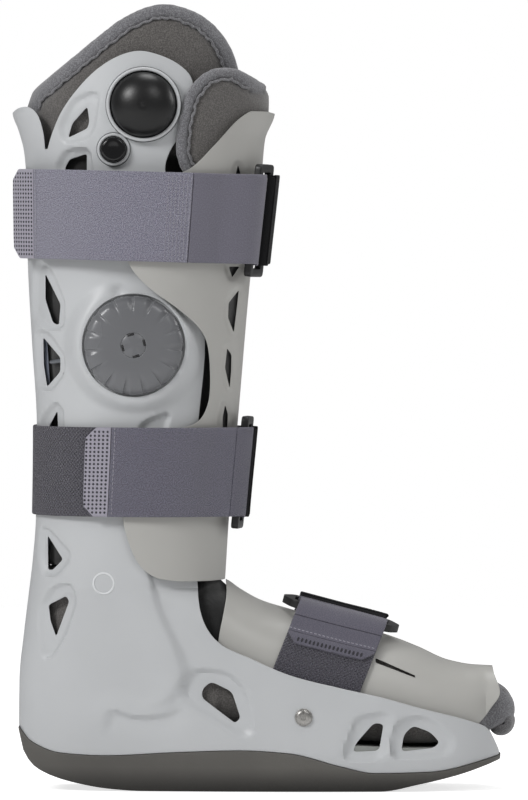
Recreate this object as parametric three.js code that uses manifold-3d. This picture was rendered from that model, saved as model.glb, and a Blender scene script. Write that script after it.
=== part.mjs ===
// A pneumatic walking boot (ankle foot orthosis), right leg: rigid rear shell with a rocker sole, front
// shell, instep shell, soft liner, air cells with a pump, a release button and a selector dial, and three
// hook-and-loop straps on rings. Millimetres, +Z up, toe towards +X, dial and pump towards -Y.
// The origin is on the flat of the sole, in the shell's plane of symmetry.
import * as THREE from "three";
import { mergeVertices } from "three/addons/utils/BufferGeometryUtils.js";
import Module from "manifold-3d";

const wasm = await Module();
wasm.setup();

// ---------------------------------------------------------------- driving dimensions
const shellLength = 276; // heel to toe of the rear shell
const linerHeight = 449; // ground to the top of the liner
const ballWidth = 106; // outside width of the tray across the ball of the foot
const ankleWidth = 100; // outside width of the rear shell at the ankle
const calfWidth = 127; // outside width of the rear shell under the upper strap

const shellWall = 3;
const cellSpace = 5; // between rear shell and liner, for air cells and tubes
const linerThickness = 6;
const padThickness = 5; // the front shell's padding
const frontInset = 4.5; // front shell's outside to the rear shell's own section, at the shin
const soleLip = 0.8; // the sole stands this much proud of the tray
const layerGap = 0.4; // between pieces that only touch
const strapClearance = 0.6; // under a strap
const touchGap = 0.3; // between flat faces that meet

const strapWidth = 51; // two-inch webbing
const webbing = 1.7;
const ringBar = 2.4; // radius of a ring's round bar
const ringSlot = 12; // between the two bars, centre to centre is this plus one bar
const footStrapTilt = THREE.MathUtils.degToRad(22); // slope of the instep under the foot strap

const dialRadius = 28.2;
const dialClearance = 0.7; // dial to its pocket
const dialRim = 1.7; // wall around the pocket
const dialPocket = 0.5; // pocket floor inside the shell's outer surface
const dialHeight = 9.6;
const valveBodyRadius = 24;
const valveBodyHeight = 3.2;
const valveHubRadius = 8.5;
const bulbRadius = 18.6;
const bulbHeight = 13.4;
const bulbWall = 2;
const bulbTravel = 6.5;
const bezelWall = 2.1;
const buttonRadius = 7.1;
const buttonTravel = 2.5;
const collarWall = 1.9;
const runningGap = 0.5; // a moving round piece to its ring
const tubeRadius = 1.2;
const cellGap = 1; // around an air cell
const screwRadius = 2.4;
const screwHeadRadius = 4.5;

// ---------------------------------------------------------------- stretching with the overall sizes
const drawnLength = 276;
const drawnHeight = 449;
const ankleHeight = 130; // below this nothing stretches with the height
const ankleSeam = 128; // where the liner's leg is sewn to its foot
const along = (x) => (x * shellLength) / drawnLength;
const up = (z) =>
  z < ankleHeight ? z : ankleHeight + ((z - ankleHeight) * (linerHeight - ankleHeight)) / (drawnHeight - ankleHeight);
const placed = (points) => points.map(([x, z]) => [along(x), up(z)]);

// ---------------------------------------------------------------- geometry helpers
// A smooth curve through [position, value] stations, without overshoot.
function through(stations) {
  const last = stations.length - 1;
  const slope = (i) => (stations[i + 1][1] - stations[i][1]) / (stations[i + 1][0] - stations[i][0]);
  const tangents = stations.map((_, i) => {
    if (i === 0) return slope(0);
    if (i === last) return slope(last - 1);
    const [a, b] = [slope(i - 1), slope(i)];
    return a * b <= 0 ? 0 : (2 * a * b) / (a + b);
  });
  return (at) => {
    if (at <= stations[0][0]) return stations[0][1];
    if (at >= stations[last][0]) return stations[last][1];
    let i = 0;
    while (at > stations[i + 1][0]) i++;
    const width = stations[i + 1][0] - stations[i][0];
    const t = (at - stations[i][0]) / width;
    const rise = stations[i + 1][1] - stations[i][1];
    return (
      stations[i][1] +
      rise * t * t * (3 - 2 * t) +
      width * t * (1 - t) * (tangents[i] * (1 - t) - tangents[i + 1] * t)
    );
  };
}

const power = (v, e) => Math.sign(v) * Math.abs(v) ** e;

// Moves each vertex of a closed geometry, and drops what a boolean doesn't read.
function remapped(geometry, move) {
  const position = geometry.getAttribute("position");
  const v = new THREE.Vector3();
  for (let i = 0; i < position.count; i++) {
    v.fromBufferAttribute(position, i);
    const [x, y, z] = move(v);
    position.setXYZ(i, x, y, z);
  }
  return geometry;
}

// A closed geometry as a solid that can be cut and joined.
function solid(geometry) {
  const bare = new THREE.BufferGeometry();
  bare.setAttribute("position", (geometry.index ? geometry.toNonIndexed() : geometry).getAttribute("position"));
  const merged = mergeVertices(bare, 1e-4);
  const made = new wasm.Manifold(
    new wasm.Mesh({
      numProp: 3,
      vertProperties: new Float32Array(merged.getAttribute("position").array),
      triVerts: new Uint32Array(merged.index.array),
    }),
  );
  if (made.volume() > 0) return made;
  const turned = Uint32Array.from(merged.index.array);
  for (let i = 0; i < turned.length; i += 3) [turned[i + 1], turned[i + 2]] = [turned[i + 2], turned[i + 1]];
  return new wasm.Manifold(
    new wasm.Mesh({
      numProp: 3,
      vertProperties: new Float32Array(merged.getAttribute("position").array),
      triVerts: turned,
    }),
  );
}

// The biggest piece of a cut solid, so that a sliver never becomes a second body.
const biggest = (made) => made.decompose().reduce((a, b) => (a.volume() > b.volume() ? a : b));

function geometryOf(made) {
  const mesh = made.getMesh();
  const points = new Float32Array(mesh.numVert * 3);
  for (let i = 0; i < mesh.numVert; i++) {
    points.set(mesh.vertProperties.subarray(i * mesh.numProp, i * mesh.numProp + 3), i * 3);
  }
  const geometry = new THREE.BufferGeometry();
  geometry.setAttribute("position", new THREE.BufferAttribute(points, 3));
  geometry.setIndex(new THREE.BufferAttribute(new Uint32Array(mesh.triVerts), 1));
  return geometry;
}

// A closed outline in the side view, as a shape: a smooth curve through the points.
function smoothShape(points, divisions) {
  const curve = new THREE.CatmullRomCurve3(
    points.map(([x, z]) => new THREE.Vector3(x, z, 0)),
    true,
    "centripetal",
  );
  return new THREE.Shape(curve.getPoints(divisions).slice(0, -1).map((p) => new THREE.Vector2(p.x, p.y)));
}

// A closed outline in the side view with straight sides and rounded corners.
function roundedShape(points, radius) {
  const corners = points.map(([x, z]) => new THREE.Vector2(x, z));
  const shape = new THREE.Shape();
  corners.forEach((corner, i) => {
    const before = corners[(i + corners.length - 1) % corners.length];
    const after = corners[(i + 1) % corners.length];
    const cut = Math.min(radius, before.distanceTo(corner) / 2.2, after.distanceTo(corner) / 2.2);
    const start = corner.clone().add(before.clone().sub(corner).setLength(cut));
    const end = corner.clone().add(after.clone().sub(corner).setLength(cut));
    if (i === 0) shape.moveTo(start.x, start.y);
    else shape.lineTo(start.x, start.y);
    shape.quadraticCurveTo(corner.x, corner.y, end.x, end.y);
  });
  shape.closePath();
  return shape;
}

// A side-view shape carried across the boot, from one Y to another.
function across(shape, fromY, toY, curveSegments = 3) {
  const geometry = new THREE.ExtrudeGeometry(shape, {
    depth: toY - fromY,
    bevelEnabled: false,
    curveSegments,
  });
  geometry.rotateX(Math.PI / 2);
  geometry.translate(0, toY, 0);
  return solid(geometry);
}

const farSide = 120; // further across than anything reaches

// A turned piece on an axis along Y: the profile lists [radius, distance outwards from the seat].
function turnedOnY(profile, centre, seatY, segments = 24) {
  const outline = profile.map(([r, d]) => new THREE.Vector2(r, d));
  const geometry = new THREE.LatheGeometry(outline, segments);
  geometry.rotateX(Math.PI);
  geometry.translate(centre[0], seatY, centre[1]);
  return solid(geometry);
}

function diskOnY(radius, centre, fromY, toY, segments = 24) {
  const geometry = new THREE.CylinderGeometry(radius, radius, toY - fromY, segments);
  geometry.translate(centre[0], (fromY + toY) / 2, centre[1]);
  return solid(geometry);
}

function ringOnY(inner, outer, centre, fromY, toY, segments = 24) {
  return diskOnY(outer, centre, fromY, toY, segments).subtract(
    diskOnY(inner, centre, fromY - 1, toY + 1, segments),
  );
}

// ---------------------------------------------------------------- the boot's sections
const mapStations = (stations) => stations.map(([z, x]) => [up(z), along(x)]);
const rearLine = through(
  mapStations([
    [0, -134], [40, -137.4], [64, -137.1], [87, -134.8], [110, -132], [132, -129.4], [155, -127.7], [206, -127.1],
    [258, -130], [300, -132.2], [355, -133.4], [366, -134.5], [377, -137.4], [388, -141], [398, -138], [450, -132],
  ]),
);
const shinLine = through(
  mapStations([
    [100, -20], [116, -19.2], [122, -18.8], [158, -16.5], [206, -12], [280, -5.7], [297, -4], [354, 2.3], [372, 4], [388, 9.7], [450, 9.7],
  ]),
);
// Where the rear shell's section ends at the front: the toe low down, the shin from the ankle up.
const toeLine = through([
  [0, along(132)], [20, along(138.5)], [52, along(138)], [66, along(112)], [84, along(52)], [104, along(4)],
  [116, along(-19.2) - frontInset],
]);
const sectionFront = (z) => (z < 116 ? toeLine(z) : shinLine(z) - frontInset);
const halfWidth = through([
  [0, ballWidth / 2 - 8], [10, ballWidth / 2 - 3], [24, ballWidth / 2], [45, ballWidth / 2],
  [84, (ballWidth + ankleWidth) / 4], [up(140), ankleWidth / 2], [up(206), ankleWidth / 2 + 4.5],
  [up(300), calfWidth / 2 - 2.5], [up(355), calfWidth / 2], [up(390), calfWidth / 2 + 2], [up(449), calfWidth / 2 - 1],
]);
const squareness = through([[40, 0.55], [84, 0.62], [140, 0.82], [400, 0.85]]);
const toeWidening = through([[50, 0.16], [84, 0.12], [125, 0], [400, 0]]);
// Front shell to rear shell: close at the ankle, open at the calf where the padding folds over the rear shell.
const wrapGap = through([[up(200), 1], [up(257), 1.3], [up(280), 3], [up(302), 5.4], [up(345), 6.5], [up(400), 6.5]]);

// A section is the plan outline at height z, grown by offset. The angle is 0 at the front and 180 degrees behind.
function rearSection(angle, z, offset) {
  const c = Math.cos(angle);
  const [back, front] = [rearLine(z) - offset, sectionFront(z) + offset];
  const y = (halfWidth(z) + offset) * power(Math.sin(angle), squareness(z)) * (1 + toeWidening(z) * c);
  return [back + ((front - back) * (1 + c)) / 2, y, z];
}

function frontSection(angle, z, offset) {
  const c = Math.cos(angle);
  const [back, front] = [rearLine(z) - shellWall - offset, shinLine(z) + offset];
  const half = halfWidth(z) + wrapGap(z) + shellWall + offset;
  return [back + ((front - back) * (1 + c)) / 2, half * power(Math.sin(angle), squareness(z)), z];
}

// The path of a leg strap: on the front shell in front, on the rear shell behind.
function strapSection(angle, z, offset) {
  const c = Math.cos(angle);
  const [back, front] = [rearLine(z) - strapClearance - offset, shinLine(z) + strapClearance + offset];
  const half = halfWidth(z) + wrapGap(z) + shellWall + strapClearance + offset;
  return [back + ((front - back) * (1 + c)) / 2, half * power(Math.sin(angle), squareness(z)), z];
}

// The outside half width of the tray at x, at height z.
function trayHalfWidth(x, z) {
  const [back, front] = [rearLine(z), sectionFront(z)];
  const c = THREE.MathUtils.clamp((2 * (x - back)) / (front - back) - 1, -0.995, 0.995);
  return halfWidth(z) * Math.sqrt(1 - c * c) ** squareness(z) * (1 + toeWidening(z) * c);
}

// A solid column of sections between the given heights.
function column(section, heights, offset, segments) {
  const geometry = new THREE.CylinderGeometry(1, 1, 1, segments, heights.length - 1, false);
  return solid(
    remapped(geometry, (v) => {
      const row = Math.round((v.y + 0.5) * (heights.length - 1));
      const radius = Math.hypot(v.x, v.z);
      if (radius > 0.5) return section(Math.atan2(v.z, v.x), heights[row], offset);
      const [front, back] = [section(0, heights[row], offset), section(Math.PI, heights[row], offset)];
      return [(front[0] + back[0]) / 2, 0, heights[row]];
    }),
  );
}

// A thick patch of a section surface, between two angles, two heights and two offsets.
function patch(section, angles, heights, offsets, steps) {
  const geometry = new THREE.BoxGeometry(1, 1, 1, steps[0], steps[1], 1);
  const mix = THREE.MathUtils.lerp;
  return solid(
    remapped(geometry, (v) => {
      const t = v.x + 0.5;
      const offset = (w) => (typeof offsets === "function" ? offsets(t)[w] : offsets[w]);
      return section(mix(...angles, t), mix(...heights, v.y + 0.5), offset(v.z > 0 ? 1 : 0));
    }),
  );
}

// ---------------------------------------------------------------- side-view outlines
const trayBottom = through(
  [
    [-137.4, 36.5], [-130, 27.9], [-113, 21.7], [-90, 20.5], [-44.5, 22.8], [-10, 23.9], [18, 22.2], [47, 14.8],
    [67, 10.8], [98, 11.4], [138, 20],
  ].map(([x, z]) => [along(x), z]),
);
const soleBottom = through(
  [[-137.4, 35], [-134, 21], [-126, 12], [-108, 5.2], [-84, 1], [-66, 0], [70, 0], [92, 4], [115, 9.5], [139, 17.5]].map(
    ([x, z]) => [along(x), z],
  ),
);
const rimLine = [
  [139, 19], [137.5, 24], [135, 29], [131, 35.5], [121, 40], [92, 47.9], [70, 54.1], [47, 59.3], [18, 66.7],
  [-4.6, 76.4], [-20.5, 83.8], [-28.5, 92.3], [-33, 103.7], [-34.8, 120.8],
];
const wingLine = [
  [-34.2, 209], [-30.2, 257.6], [-34, 290], [-46, 330], [-52.7, 354.5], [-50, 365], [-43, 376], [-38.8, 389],
  [-36.5, 400], [-38.5, 408], [-46, 415], [-57, 420], [-67, 422], [-77, 420], [-89, 413.5], [-100, 403.5], [-111, 389],
  [-117, 376], [-120, 366.5],
];
const spineLine = [[-121.4, 366.5], [-122.4, 376], [-126, 386.5], [-131, 390.5], [-137, 390], [-141.5, 387]];
const rimHeight = through(
  [...rimLine].reverse().map(([x, z]) => [along(x), z]),
);

const sampled = (line, from, to, steps) =>
  Array.from({ length: steps + 1 }, (_, i) => {
    const x = THREE.MathUtils.lerp(from, to, i / steps);
    return [x, line(x)];
  });

function openCurve(points, divisions) {
  return new THREE.CatmullRomCurve3(
    points.map(([x, z]) => new THREE.Vector3(x, z, 0)),
    false,
    "centripetal",
  )
    .getPoints(divisions)
    .map((p) => [p.x, p.y]);
}

function rearShellShape() {
  const heel = along(-137.4);
  const points = [
    ...openCurve(placed(rimLine), 14),
    ...openCurve(placed(wingLine), 22),
    ...openCurve(placed(spineLine), 5),
    [heel - 20, up(384)],
    [heel - 20, 37],
    ...sampled(trayBottom, heel, along(138.6), 14),
  ];
  return new THREE.Shape(points.map(([x, z]) => new THREE.Vector2(x, z)));
}

const rearVents = [
  [[-121.4, 295.3], [-112.6, 278], [-113.6, 266], [-117, 267.3], [-121.4, 280.4]],
  [[-122.8, 259], [-112.7, 247.4], [-112.9, 239.4], [-120.6, 230.6], [-122.6, 243.4]],
  [[-114.6, 217], [-114, 201], [-119.7, 195], [-120.3, 206.3]],
  [[-120.3, 145.6], [-111.4, 132.2], [-117.4, 126], [-120, 126]],
  [[-119.7, 106], [-109.4, 111.4], [-107.8, 108.3], [-115.4, 88], [-118.6, 96.9]],
  [[-108, 372.8], [-105.5, 381], [-97, 390.4], [-95.8, 382], [-97, 378]],
  [[-109.7, 356], [-107, 360.6], [-97.3, 363.6], [-97.3, 349], [-109.4, 349]],
];
const trayVents = [
  [[-31.6, 58.6], [-26.8, 63], [-14.8, 57.2], [-10, 42.2], [-13, 39.2], [-32, 53.6]],
  [[66, 39.4], [71.6, 38.8], [69, 23.6], [54, 23], [56, 28]],
  [[83.2, 32.8], [88.4, 37.8], [98.6, 33.8], [103.6, 28], [100.3, 25], [81.6, 23]],
];
const frontVents = [
  [[-11.4, 357.4], [-9.2, 349.5], [-13.3, 349.5]],
  [[-16.6, 299.5], [-10.6, 299.5], [-14.8, 293.2]],
  [[-11, 286], [-16.8, 278.7], [-17.1, 270.2], [-13.9, 261.8], [-12.4, 273.6]],
  [[-17.6, 252.8], [-15.2, 249], [-15.4, 239.4], [-16.3, 230], [-18.9, 241.7]],
  [[-18.8, 220.4], [-17.3, 214.9], [-18, 200.6], [-20.2, 200.6], [-20.2, 213.2]],
];
const cutVents = (made, vents, radius, pieces = 1) =>
  vents.reduce(
    (rest, vent) => rest.subtract(across(roundedShape(placed(vent), radius), -farSide, farSide, pieces)),
    made,
  );

const pumpCentre = [along(-65), up(391.6)];
const releaseCentre = [pumpCentre[0] - 17, pumpCentre[1] - 25.6]; // the button is below the bulb
const dialCentre = [along(-70.7), up(254.8)];
const screwCentre = [along(26), 42.8];

const sideY = (centre) => {
  const [back, front] = [rearLine(centre[1]), sectionFront(centre[1])];
  const c = (2 * (centre[0] - back)) / (front - back) - 1;
  return -halfWidth(centre[1]) * Math.sqrt(1 - c * c) ** squareness(centre[1]);
};
const dialFace = sideY(dialCentre) + dialPocket; // the pocket's floor
const dialPocketRadius = dialRadius + dialClearance;
const bossHeight = 2.6;
const pumpY = sideY(pumpCentre);
const cupWall = 1.2;
const cupFloor = pumpY + shellWall + cellSpace - 0.6 - cupWall; // the cup's back stands just clear of the liner
const bulbSeat = cupFloor - layerGap - bulbTravel;
const bezelInner = bulbRadius + runningGap;
const bezelOuter = bezelInner + bezelWall;
const releaseY = sideY(releaseCentre);
const collarInner = buttonRadius + layerGap;
const collarOuter = collarInner + collarWall;

// ---------------------------------------------------------------- shells and sole
// Everything that nests is built on the same rows and segments, so the clearances hold between the facets too.
const upperStrap = { middle: up(328), tilt: 1.8 };
// The lower strap keeps clear of the dial's pocket, by a share of the leg's height.
const lowerStrap = {
  middle: up(254.8) - dialRadius - dialClearance - dialRim - strapWidth / 2 - (up(200) - up(183.8)),
  tilt: 0.4,
};
const strapEdges = [upperStrap, lowerStrap].flatMap(({ middle, tilt }) => [
  middle - strapWidth / 2 - tilt, middle + strapWidth / 2 + tilt,
]);
const ascending = (a, b) => a - b;
const rowsAbove = [...strapEdges, ...[258, 372, 388, 426].map(up)].sort(ascending);
const shellRows = [8, 20, 33, 50, 66, 84, 104, 116, ankleSeam, ...rowsAbove];
const shellSegments = 26;
const rowsBetween = (low, high) => [low, ...shellRows.filter((z) => z > low + 1 && z < high - 1), high];

function floorPrism(line, top) {
  const shape = new THREE.Shape(
    [...sampled(line, along(-150), along(150), 14), [along(150), top], [along(-150), top]].map(
      ([x, z]) => new THREE.Vector2(x, z),
    ),
  );
  return across(shape, -farSide, farSide);
}

function rearShell() {
  const outer = column(rearSection, shellRows, 0, shellSegments);
  const inner = column(rearSection, shellRows, -shellWall, shellSegments).intersect(
    floorPrism((x) => trayBottom(x) + shellWall, up(500)),
  );
  const boss = diskOnY(dialPocketRadius + dialRim, dialCentre, dialFace - bossHeight, dialFace + 8, 36);
  const pocket = diskOnY(dialPocketRadius, dialCentre, -farSide, dialFace, 36);
  const cavity = column(rearSection, shellRows, -shellWall, shellSegments);
  let made = outer.add(boss.subtract(cavity)).intersect(across(rearShellShape(), -farSide, farSide)).subtract(inner);
  made = made.subtract(pocket).subtract(diskOnY(valveHubRadius + layerGap, dialCentre, -farSide, 0));
  made = made.subtract(diskOnY(bezelOuter + touchGap, pumpCentre, -farSide, 0));
  made = made.subtract(diskOnY(collarOuter + touchGap, releaseCentre, -farSide, 0));
  for (const side of [-1, 1]) {
    const [from, to] = side < 0 ? [-farSide, 0] : [0, farSide];
    made = made.subtract(diskOnY(screwRadius + touchGap, screwCentre, from, to, 16));
  }
  return biggest(cutVents(cutVents(made, rearVents, 1.6), trayVents, 3, 2));
}

function outsole() {
  const heights = [-0.6, 8, 20, 33, 46];
  const top = sampled((x) => trayBottom(x) - touchGap, along(-137.2), along(139.4), 14);
  const bottom = sampled(soleBottom, along(-137.6), along(139.4), 18).reverse();
  const outline = new THREE.Shape([...top, ...bottom].map(([x, z]) => new THREE.Vector2(x, z)));
  let made = column(rearSection, heights, soleLip, shellSegments).intersect(across(outline, -farSide, farSide));
  const grooves = [-96, -84, -72, -60, -48, -36, 36, 48, 60, 72, 84, 96, 108];
  for (const x of grooves) {
    const groove = new THREE.BoxGeometry(3, 2 * farSide, 4);
    groove.translate(along(x), 0, soleBottom(along(x)));
    made = made.subtract(solid(groove));
  }
  return biggest(made);
}

function footbed() {
  return biggest(
    column(rearSection, [8, 20, 33, 46], -shellWall - 1, shellSegments)
      .intersect(floorPrism((x) => trayBottom(x) + shellWall + layerGap, 60))
      .subtract(floorPrism((x) => sockFloor(x) - layerGap - 0.2, 60)),
  );
}
const sockFloor = through(
  [[-126, 31.5], [-90, 30], [-10, 31.5], [47, 27.5], [98, 25.5], [128, 31]].map(([x, z]) => [along(x), z]),
);

const frontRows = [...strapEdges, ...[258, 280, 372, 388, 400].map(up)].sort(ascending);
const frontRowsBetween = (low, high) => [low, ...frontRows.filter((z) => z > low + 1 && z < high - 1), high];

const frontShellPoints = [
  [9.7, 387], [24, 384], [30, 300], [26, 200], [10, 123], [-18, 121.4], [-34, 120.2], [-47.3, 120.3], [-58.7, 122.6], [-67.3, 129.4],
  [-73, 140.8], [-77, 156.2], [-77.5, 176], [-75.5, 193], [-67.3, 202.6], [-50.2, 206.3], [-34.5, 211], [-28.8, 220.6],
  [-27.4, 240.5], [-29.6, 257.6], [-34, 265], [-44.5, 274.7], [-58.7, 285], [-69, 294.7], [-74, 303], [-75.8, 316],
  [-74.2, 331.7], [-66.5, 343.5], [-53, 350], [-38.8, 355], [-24.5, 368.8], [-11.3, 383.2], [-3.4, 388.2], [2.3, 388.4],
];

function frontShell() {
  const outline = across(smoothShape(placed(frontShellPoints), 40), -farSide, farSide);
  const heights = frontRowsBetween(116, up(388));
  const made = column(frontSection, heights, 0, shellSegments)
    .subtract(column(frontSection, [112, ...heights, up(388) + 4], -shellWall, shellSegments))
    .intersect(outline)
    .subtract(diskOnY(dialPocketRadius + dialRim + 1, dialCentre, -farSide, 0));
  return biggest(cutVents(made, frontVents, 1));
}

// The instep shell's arch: height of the crown, foot of the arch and half width at x.
const crownLine = through(
  [[-30, 124], [-18, 119.5], [-10, 114], [2, 107.5], [18, 102.6], [46, 95], [74, 87.8], [92, 81], [109, 73.5], [124, 70.7], [140, 70]].map(
    ([x, z]) => [along(x), z],
  ),
);
const instepInset = shellWall + 3.5; // leaves room for the foot strap inside the tray wall
const archFoot = (x) => Math.max(rimHeight(x) - 8, sockFloor(x) + 4);
function archHalf(x) {
  const widest = Math.min(x, along(130)); // the toe end stays as wide as it is there
  return trayHalfWidth(widest, Math.min(rimHeight(widest), 84)) - instepInset;
}

function archPoint(x, angle, offset) {
  const foot = archFoot(x);
  return [
    x,
    (archHalf(x) + offset) * power(Math.sin(angle), 0.8),
    foot + (crownLine(x) + offset - foot) * Math.max(Math.cos(angle), 0) ** 0.75,
  ];
}

const instepPoints = [
  [-15, 124], [-16, 112], [-19, 100], [-22, 90], [-23, 80], [-22, 72], [-14, 66], [6, 58], [50, 44], [90, 34], [118, 32],
  [128, 40], [133.5, 47], [138.5, 55], [135.5, 66], [132, 76], [80, 100], [20, 120],
];
const instepSlots = [
  [[67, 73.4], [90, 64.6], [89.6, 66], [67, 76]],
  [[13, 110], [19, 103.6], [18, 103.2], [12, 109.4]],
];

function instepShell() {
  const geometry = new THREE.BoxGeometry(1, 1, 1, 12, 12, 1);
  const wall = 2.5;
  const blank = solid(
    remapped(geometry, (v) =>
      archPoint(THREE.MathUtils.lerp(along(-26), along(140), v.y + 0.5), v.x * Math.PI, v.z > 0 ? 0 : -wall),
    ),
  );
  const made = blank.intersect(across(smoothShape(placed(instepPoints), 32), -farSide, farSide));
  return biggest(made.subtract(across(roundedShape(placed(instepSlots[0]), 1), -farSide, farSide)));
}
const instepWall = 2.5;

// ---------------------------------------------------------------- liner, padding and air cells
const linerOutside = -shellWall - cellSpace;
const linerInside = linerOutside - linerThickness;
const linerTop = [
  [-150, 389], [-134.5, 391], [-131, 398], [-118.6, 408.5], [-104.3, 420], [-90, 431.5], [-78.7, 440], [-64.4, 447],
  [-53, 449], [-41.6, 447], [-30.2, 441.5], [-21.7, 433.8], [-14.8, 423], [-11.4, 412.7], [-9.5, 404], [-6, 394], [20, 390],
];

function legLiner() {
  const heights = rowsBetween(ankleSeam, up(449));
  const taller = [ankleSeam - 4, ...heights, up(449) + 4];
  const outline = new THREE.Shape(
    [...openCurve(placed(linerTop), 18), [along(20), 100], [along(-150), 100]].map(([x, z]) => new THREE.Vector2(x, z)),
  );
  return biggest(
    column(rearSection, heights, linerOutside, shellSegments)
      .subtract(column(rearSection, taller, linerInside, shellSegments))
      .intersect(across(outline, -farSide, farSide)),
  );
}

// A closed tube of foot sections along X, inside the instep shell and on the footbed, with a rolled toe.
const toeRoof = through([[124, 67.2], [132, 63.4], [140, 59], [145, 54.6], [147.6, 49]].map(([x, z]) => [along(x), z]));
const toeFloor = through([[128, 31], [133, 33.5], [142, 36.5], [147.6, 41]].map(([x, z]) => [along(x), z]));
const toeHalf = through([[126, 0], [132, 2], [140, 5], [145, 9], [147.6, 14]].map(([x, z]) => [along(x), z]));
function footTube(fromX, toX, inset, lining, rows) {
  const geometry = new THREE.CylinderGeometry(1, 1, 1, 16, rows, false);
  const [tip, start] = [along(147.6), along(124)];
  return solid(
    remapped(geometry, (v) => {
      const x = THREE.MathUtils.lerp(fromX, toX, v.y + 0.5);
      const outer = x + (x > start ? ((x - start) * lining) / (tip - start) : 0);
      const foot = x > start ? THREE.MathUtils.lerp(archFoot(start), 45, (x - start) / (tip - start)) : archFoot(x);
      const half = archHalf(Math.min(x, along(130))) - inset - lining - toeHalf(outer);
      const roof = (x > start ? toeRoof(outer) : crownLine(x) - inset) - lining - foot;
      const drop = foot - (x > along(128) ? toeFloor(outer) : sockFloor(x)) - lining;
      if (Math.hypot(v.x, v.z) < 0.5) return [x, 0, foot];
      return [x, half * power(v.x, 0.8), foot + (v.z > 0 ? roof * v.z ** 0.75 : -drop * (-v.z) ** 0.5)];
    }),
  );
}

const toeSeam = along(58); // the sock's toe end is sewn on here
function footLiner(from, to) {
  const inset = instepWall + 1;
  const keepBack = new THREE.BoxGeometry(200, 2 * farSide, 300);
  keepBack.translate(along(-24) - 100, 0, 100);
  const heel = (offset, lift, top) =>
    column(rearSection, rowsBetween(20, top), offset, shellSegments)
      .intersect(floorPrism((x) => sockFloor(x) + lift, 300))
      .intersect(solid(keepBack));
  const outer = heel(linerOutside, 0, ankleSeam - touchGap).add(footTube(along(-31), along(147.6), inset, 0, 11));
  const inner = heel(linerInside, linerThickness, ankleSeam + 6).add(
    footTube(along(-60), along(139), inset, linerThickness, 11),
  );
  const kept = new THREE.BoxGeometry(to - from, 400, 2 * (ankleSeam - touchGap));
  kept.translate((from + to) / 2, 0, 0);
  return biggest(outer.subtract(inner).intersect(solid(kept)));
}

const padPoints = [
  [-46.7, 366], [-45.6, 380], [-41, 397.3], [-33, 408], [-24.5, 412.7], [-15, 413.3], [-5, 409], [12, 398.6], [30, 392],
  [30, 250], [8, 138], [-24, 134], [-28, 142], [-28, 200], [-26, 250], [-25, 290], [-28, 320], [-38, 345], [-45, 357],
];

function frontPad() {
  const heights = frontRowsBetween(132, up(414));
  const taller = [128, ...heights, up(414) + 4];
  const outside = -shellWall - layerGap;
  return biggest(
    column(frontSection, heights, outside, shellSegments)
      .subtract(column(frontSection, taller, outside - padThickness, shellSegments))
      .intersect(across(smoothShape(placed(padPoints), 34), -farSide, farSide))
      .subtract(diskOnY(bezelOuter + layerGap, pumpCentre, -farSide, 0)),
  );
}

// An air cell is a soft pad in the space between shell and liner.
const cellOffsets = [-shellWall - cellGap, -shellWall - cellSpace + cellGap + layerGap];
function airCell(section, fromAngle, toAngle, fromZ, toZ, offsets, steps = [6, 4]) {
  const degrees = [fromAngle, toAngle].map(THREE.MathUtils.degToRad);
  return patch(section, degrees, [up(fromZ), up(toZ)], offsets, steps);
}
const padInside = -shellWall - layerGap - padThickness - cellGap;
const linerAtShin = -frontInset - shellWall - cellSpace; // the liner's front, from the front shell's outside
const frontCellOffsets = [padInside, linerAtShin + cellGap];

// ---------------------------------------------------------------- pump, release valve and dial
function selectorDial() {
  const top = dialHeight;
  const cap = turnedOnY(
    [
      [0, 0.4], [dialRadius - 0.8, 0.4], [dialRadius, 1.2], [dialRadius, top - 4.6], [dialRadius - 1.6, top - 2.6],
      [dialRadius - 7, top - 0.8], [0, top],
    ],
    dialCentre,
    dialFace,
    30,
  );
  const hollow = diskOnY(valveBodyRadius + 1, dialCentre, dialFace - valveBodyHeight - 3.4, dialFace + 1);
  let made = cap.subtract(hollow);
  const flutes = 15;
  for (let i = 0; i < flutes; i++) {
    const angle = (i / flutes) * 2 * Math.PI;
    const flute = new THREE.BoxGeometry(9, 2.2, 2.4);
    flute.rotateZ(0.32);
    flute.translate(dialRadius - 2.6, 2.6 - top, 0);
    flute.rotateY(angle);
    flute.translate(dialCentre[0], dialFace, dialCentre[1]);
    made = made.subtract(solid(flute));
  }
  return biggest(made);
}

function dialHub() {
  return turnedOnY([[0, 0.1], [6.8, 0.1], [6.8, 0.7], [5.6, 0.9], [0, 0.9]], dialCentre, dialFace - dialHeight - 0.2, 24);
}

function valveBody() {
  return diskOnY(valveBodyRadius, dialCentre, dialFace - layerGap - valveBodyHeight, dialFace - layerGap).add(
    diskOnY(valveHubRadius, dialCentre, dialFace - layerGap - 1, dialFace + shellWall + cellSpace - 1.4),
  );
}

function pumpBulb() {
  const rim = 1.2;
  const profile = [[bulbRadius - bulbWall, 0]];
  profile.push([bulbRadius, 0], [bulbRadius, rim]);
  const steps = 4;
  for (let i = 1; i <= steps; i++) {
    const angle = ((i / steps) * Math.PI) / 2;
    profile.push([bulbRadius * Math.cos(angle), rim + (bulbHeight - rim) * Math.sin(angle)]);
  }
  for (let i = steps; i >= 1; i--) {
    const angle = ((i / steps) * Math.PI) / 2;
    const [r, h] = [bulbRadius - bulbWall, bulbHeight - rim - bulbWall];
    profile.push([i === steps ? 0 : r * Math.cos(angle), rim + h * Math.sin(angle)]);
  }
  profile.push([bulbRadius - bulbWall, 0]);
  return turnedOnY(profile, pumpCentre, bulbSeat, 24);
}

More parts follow.
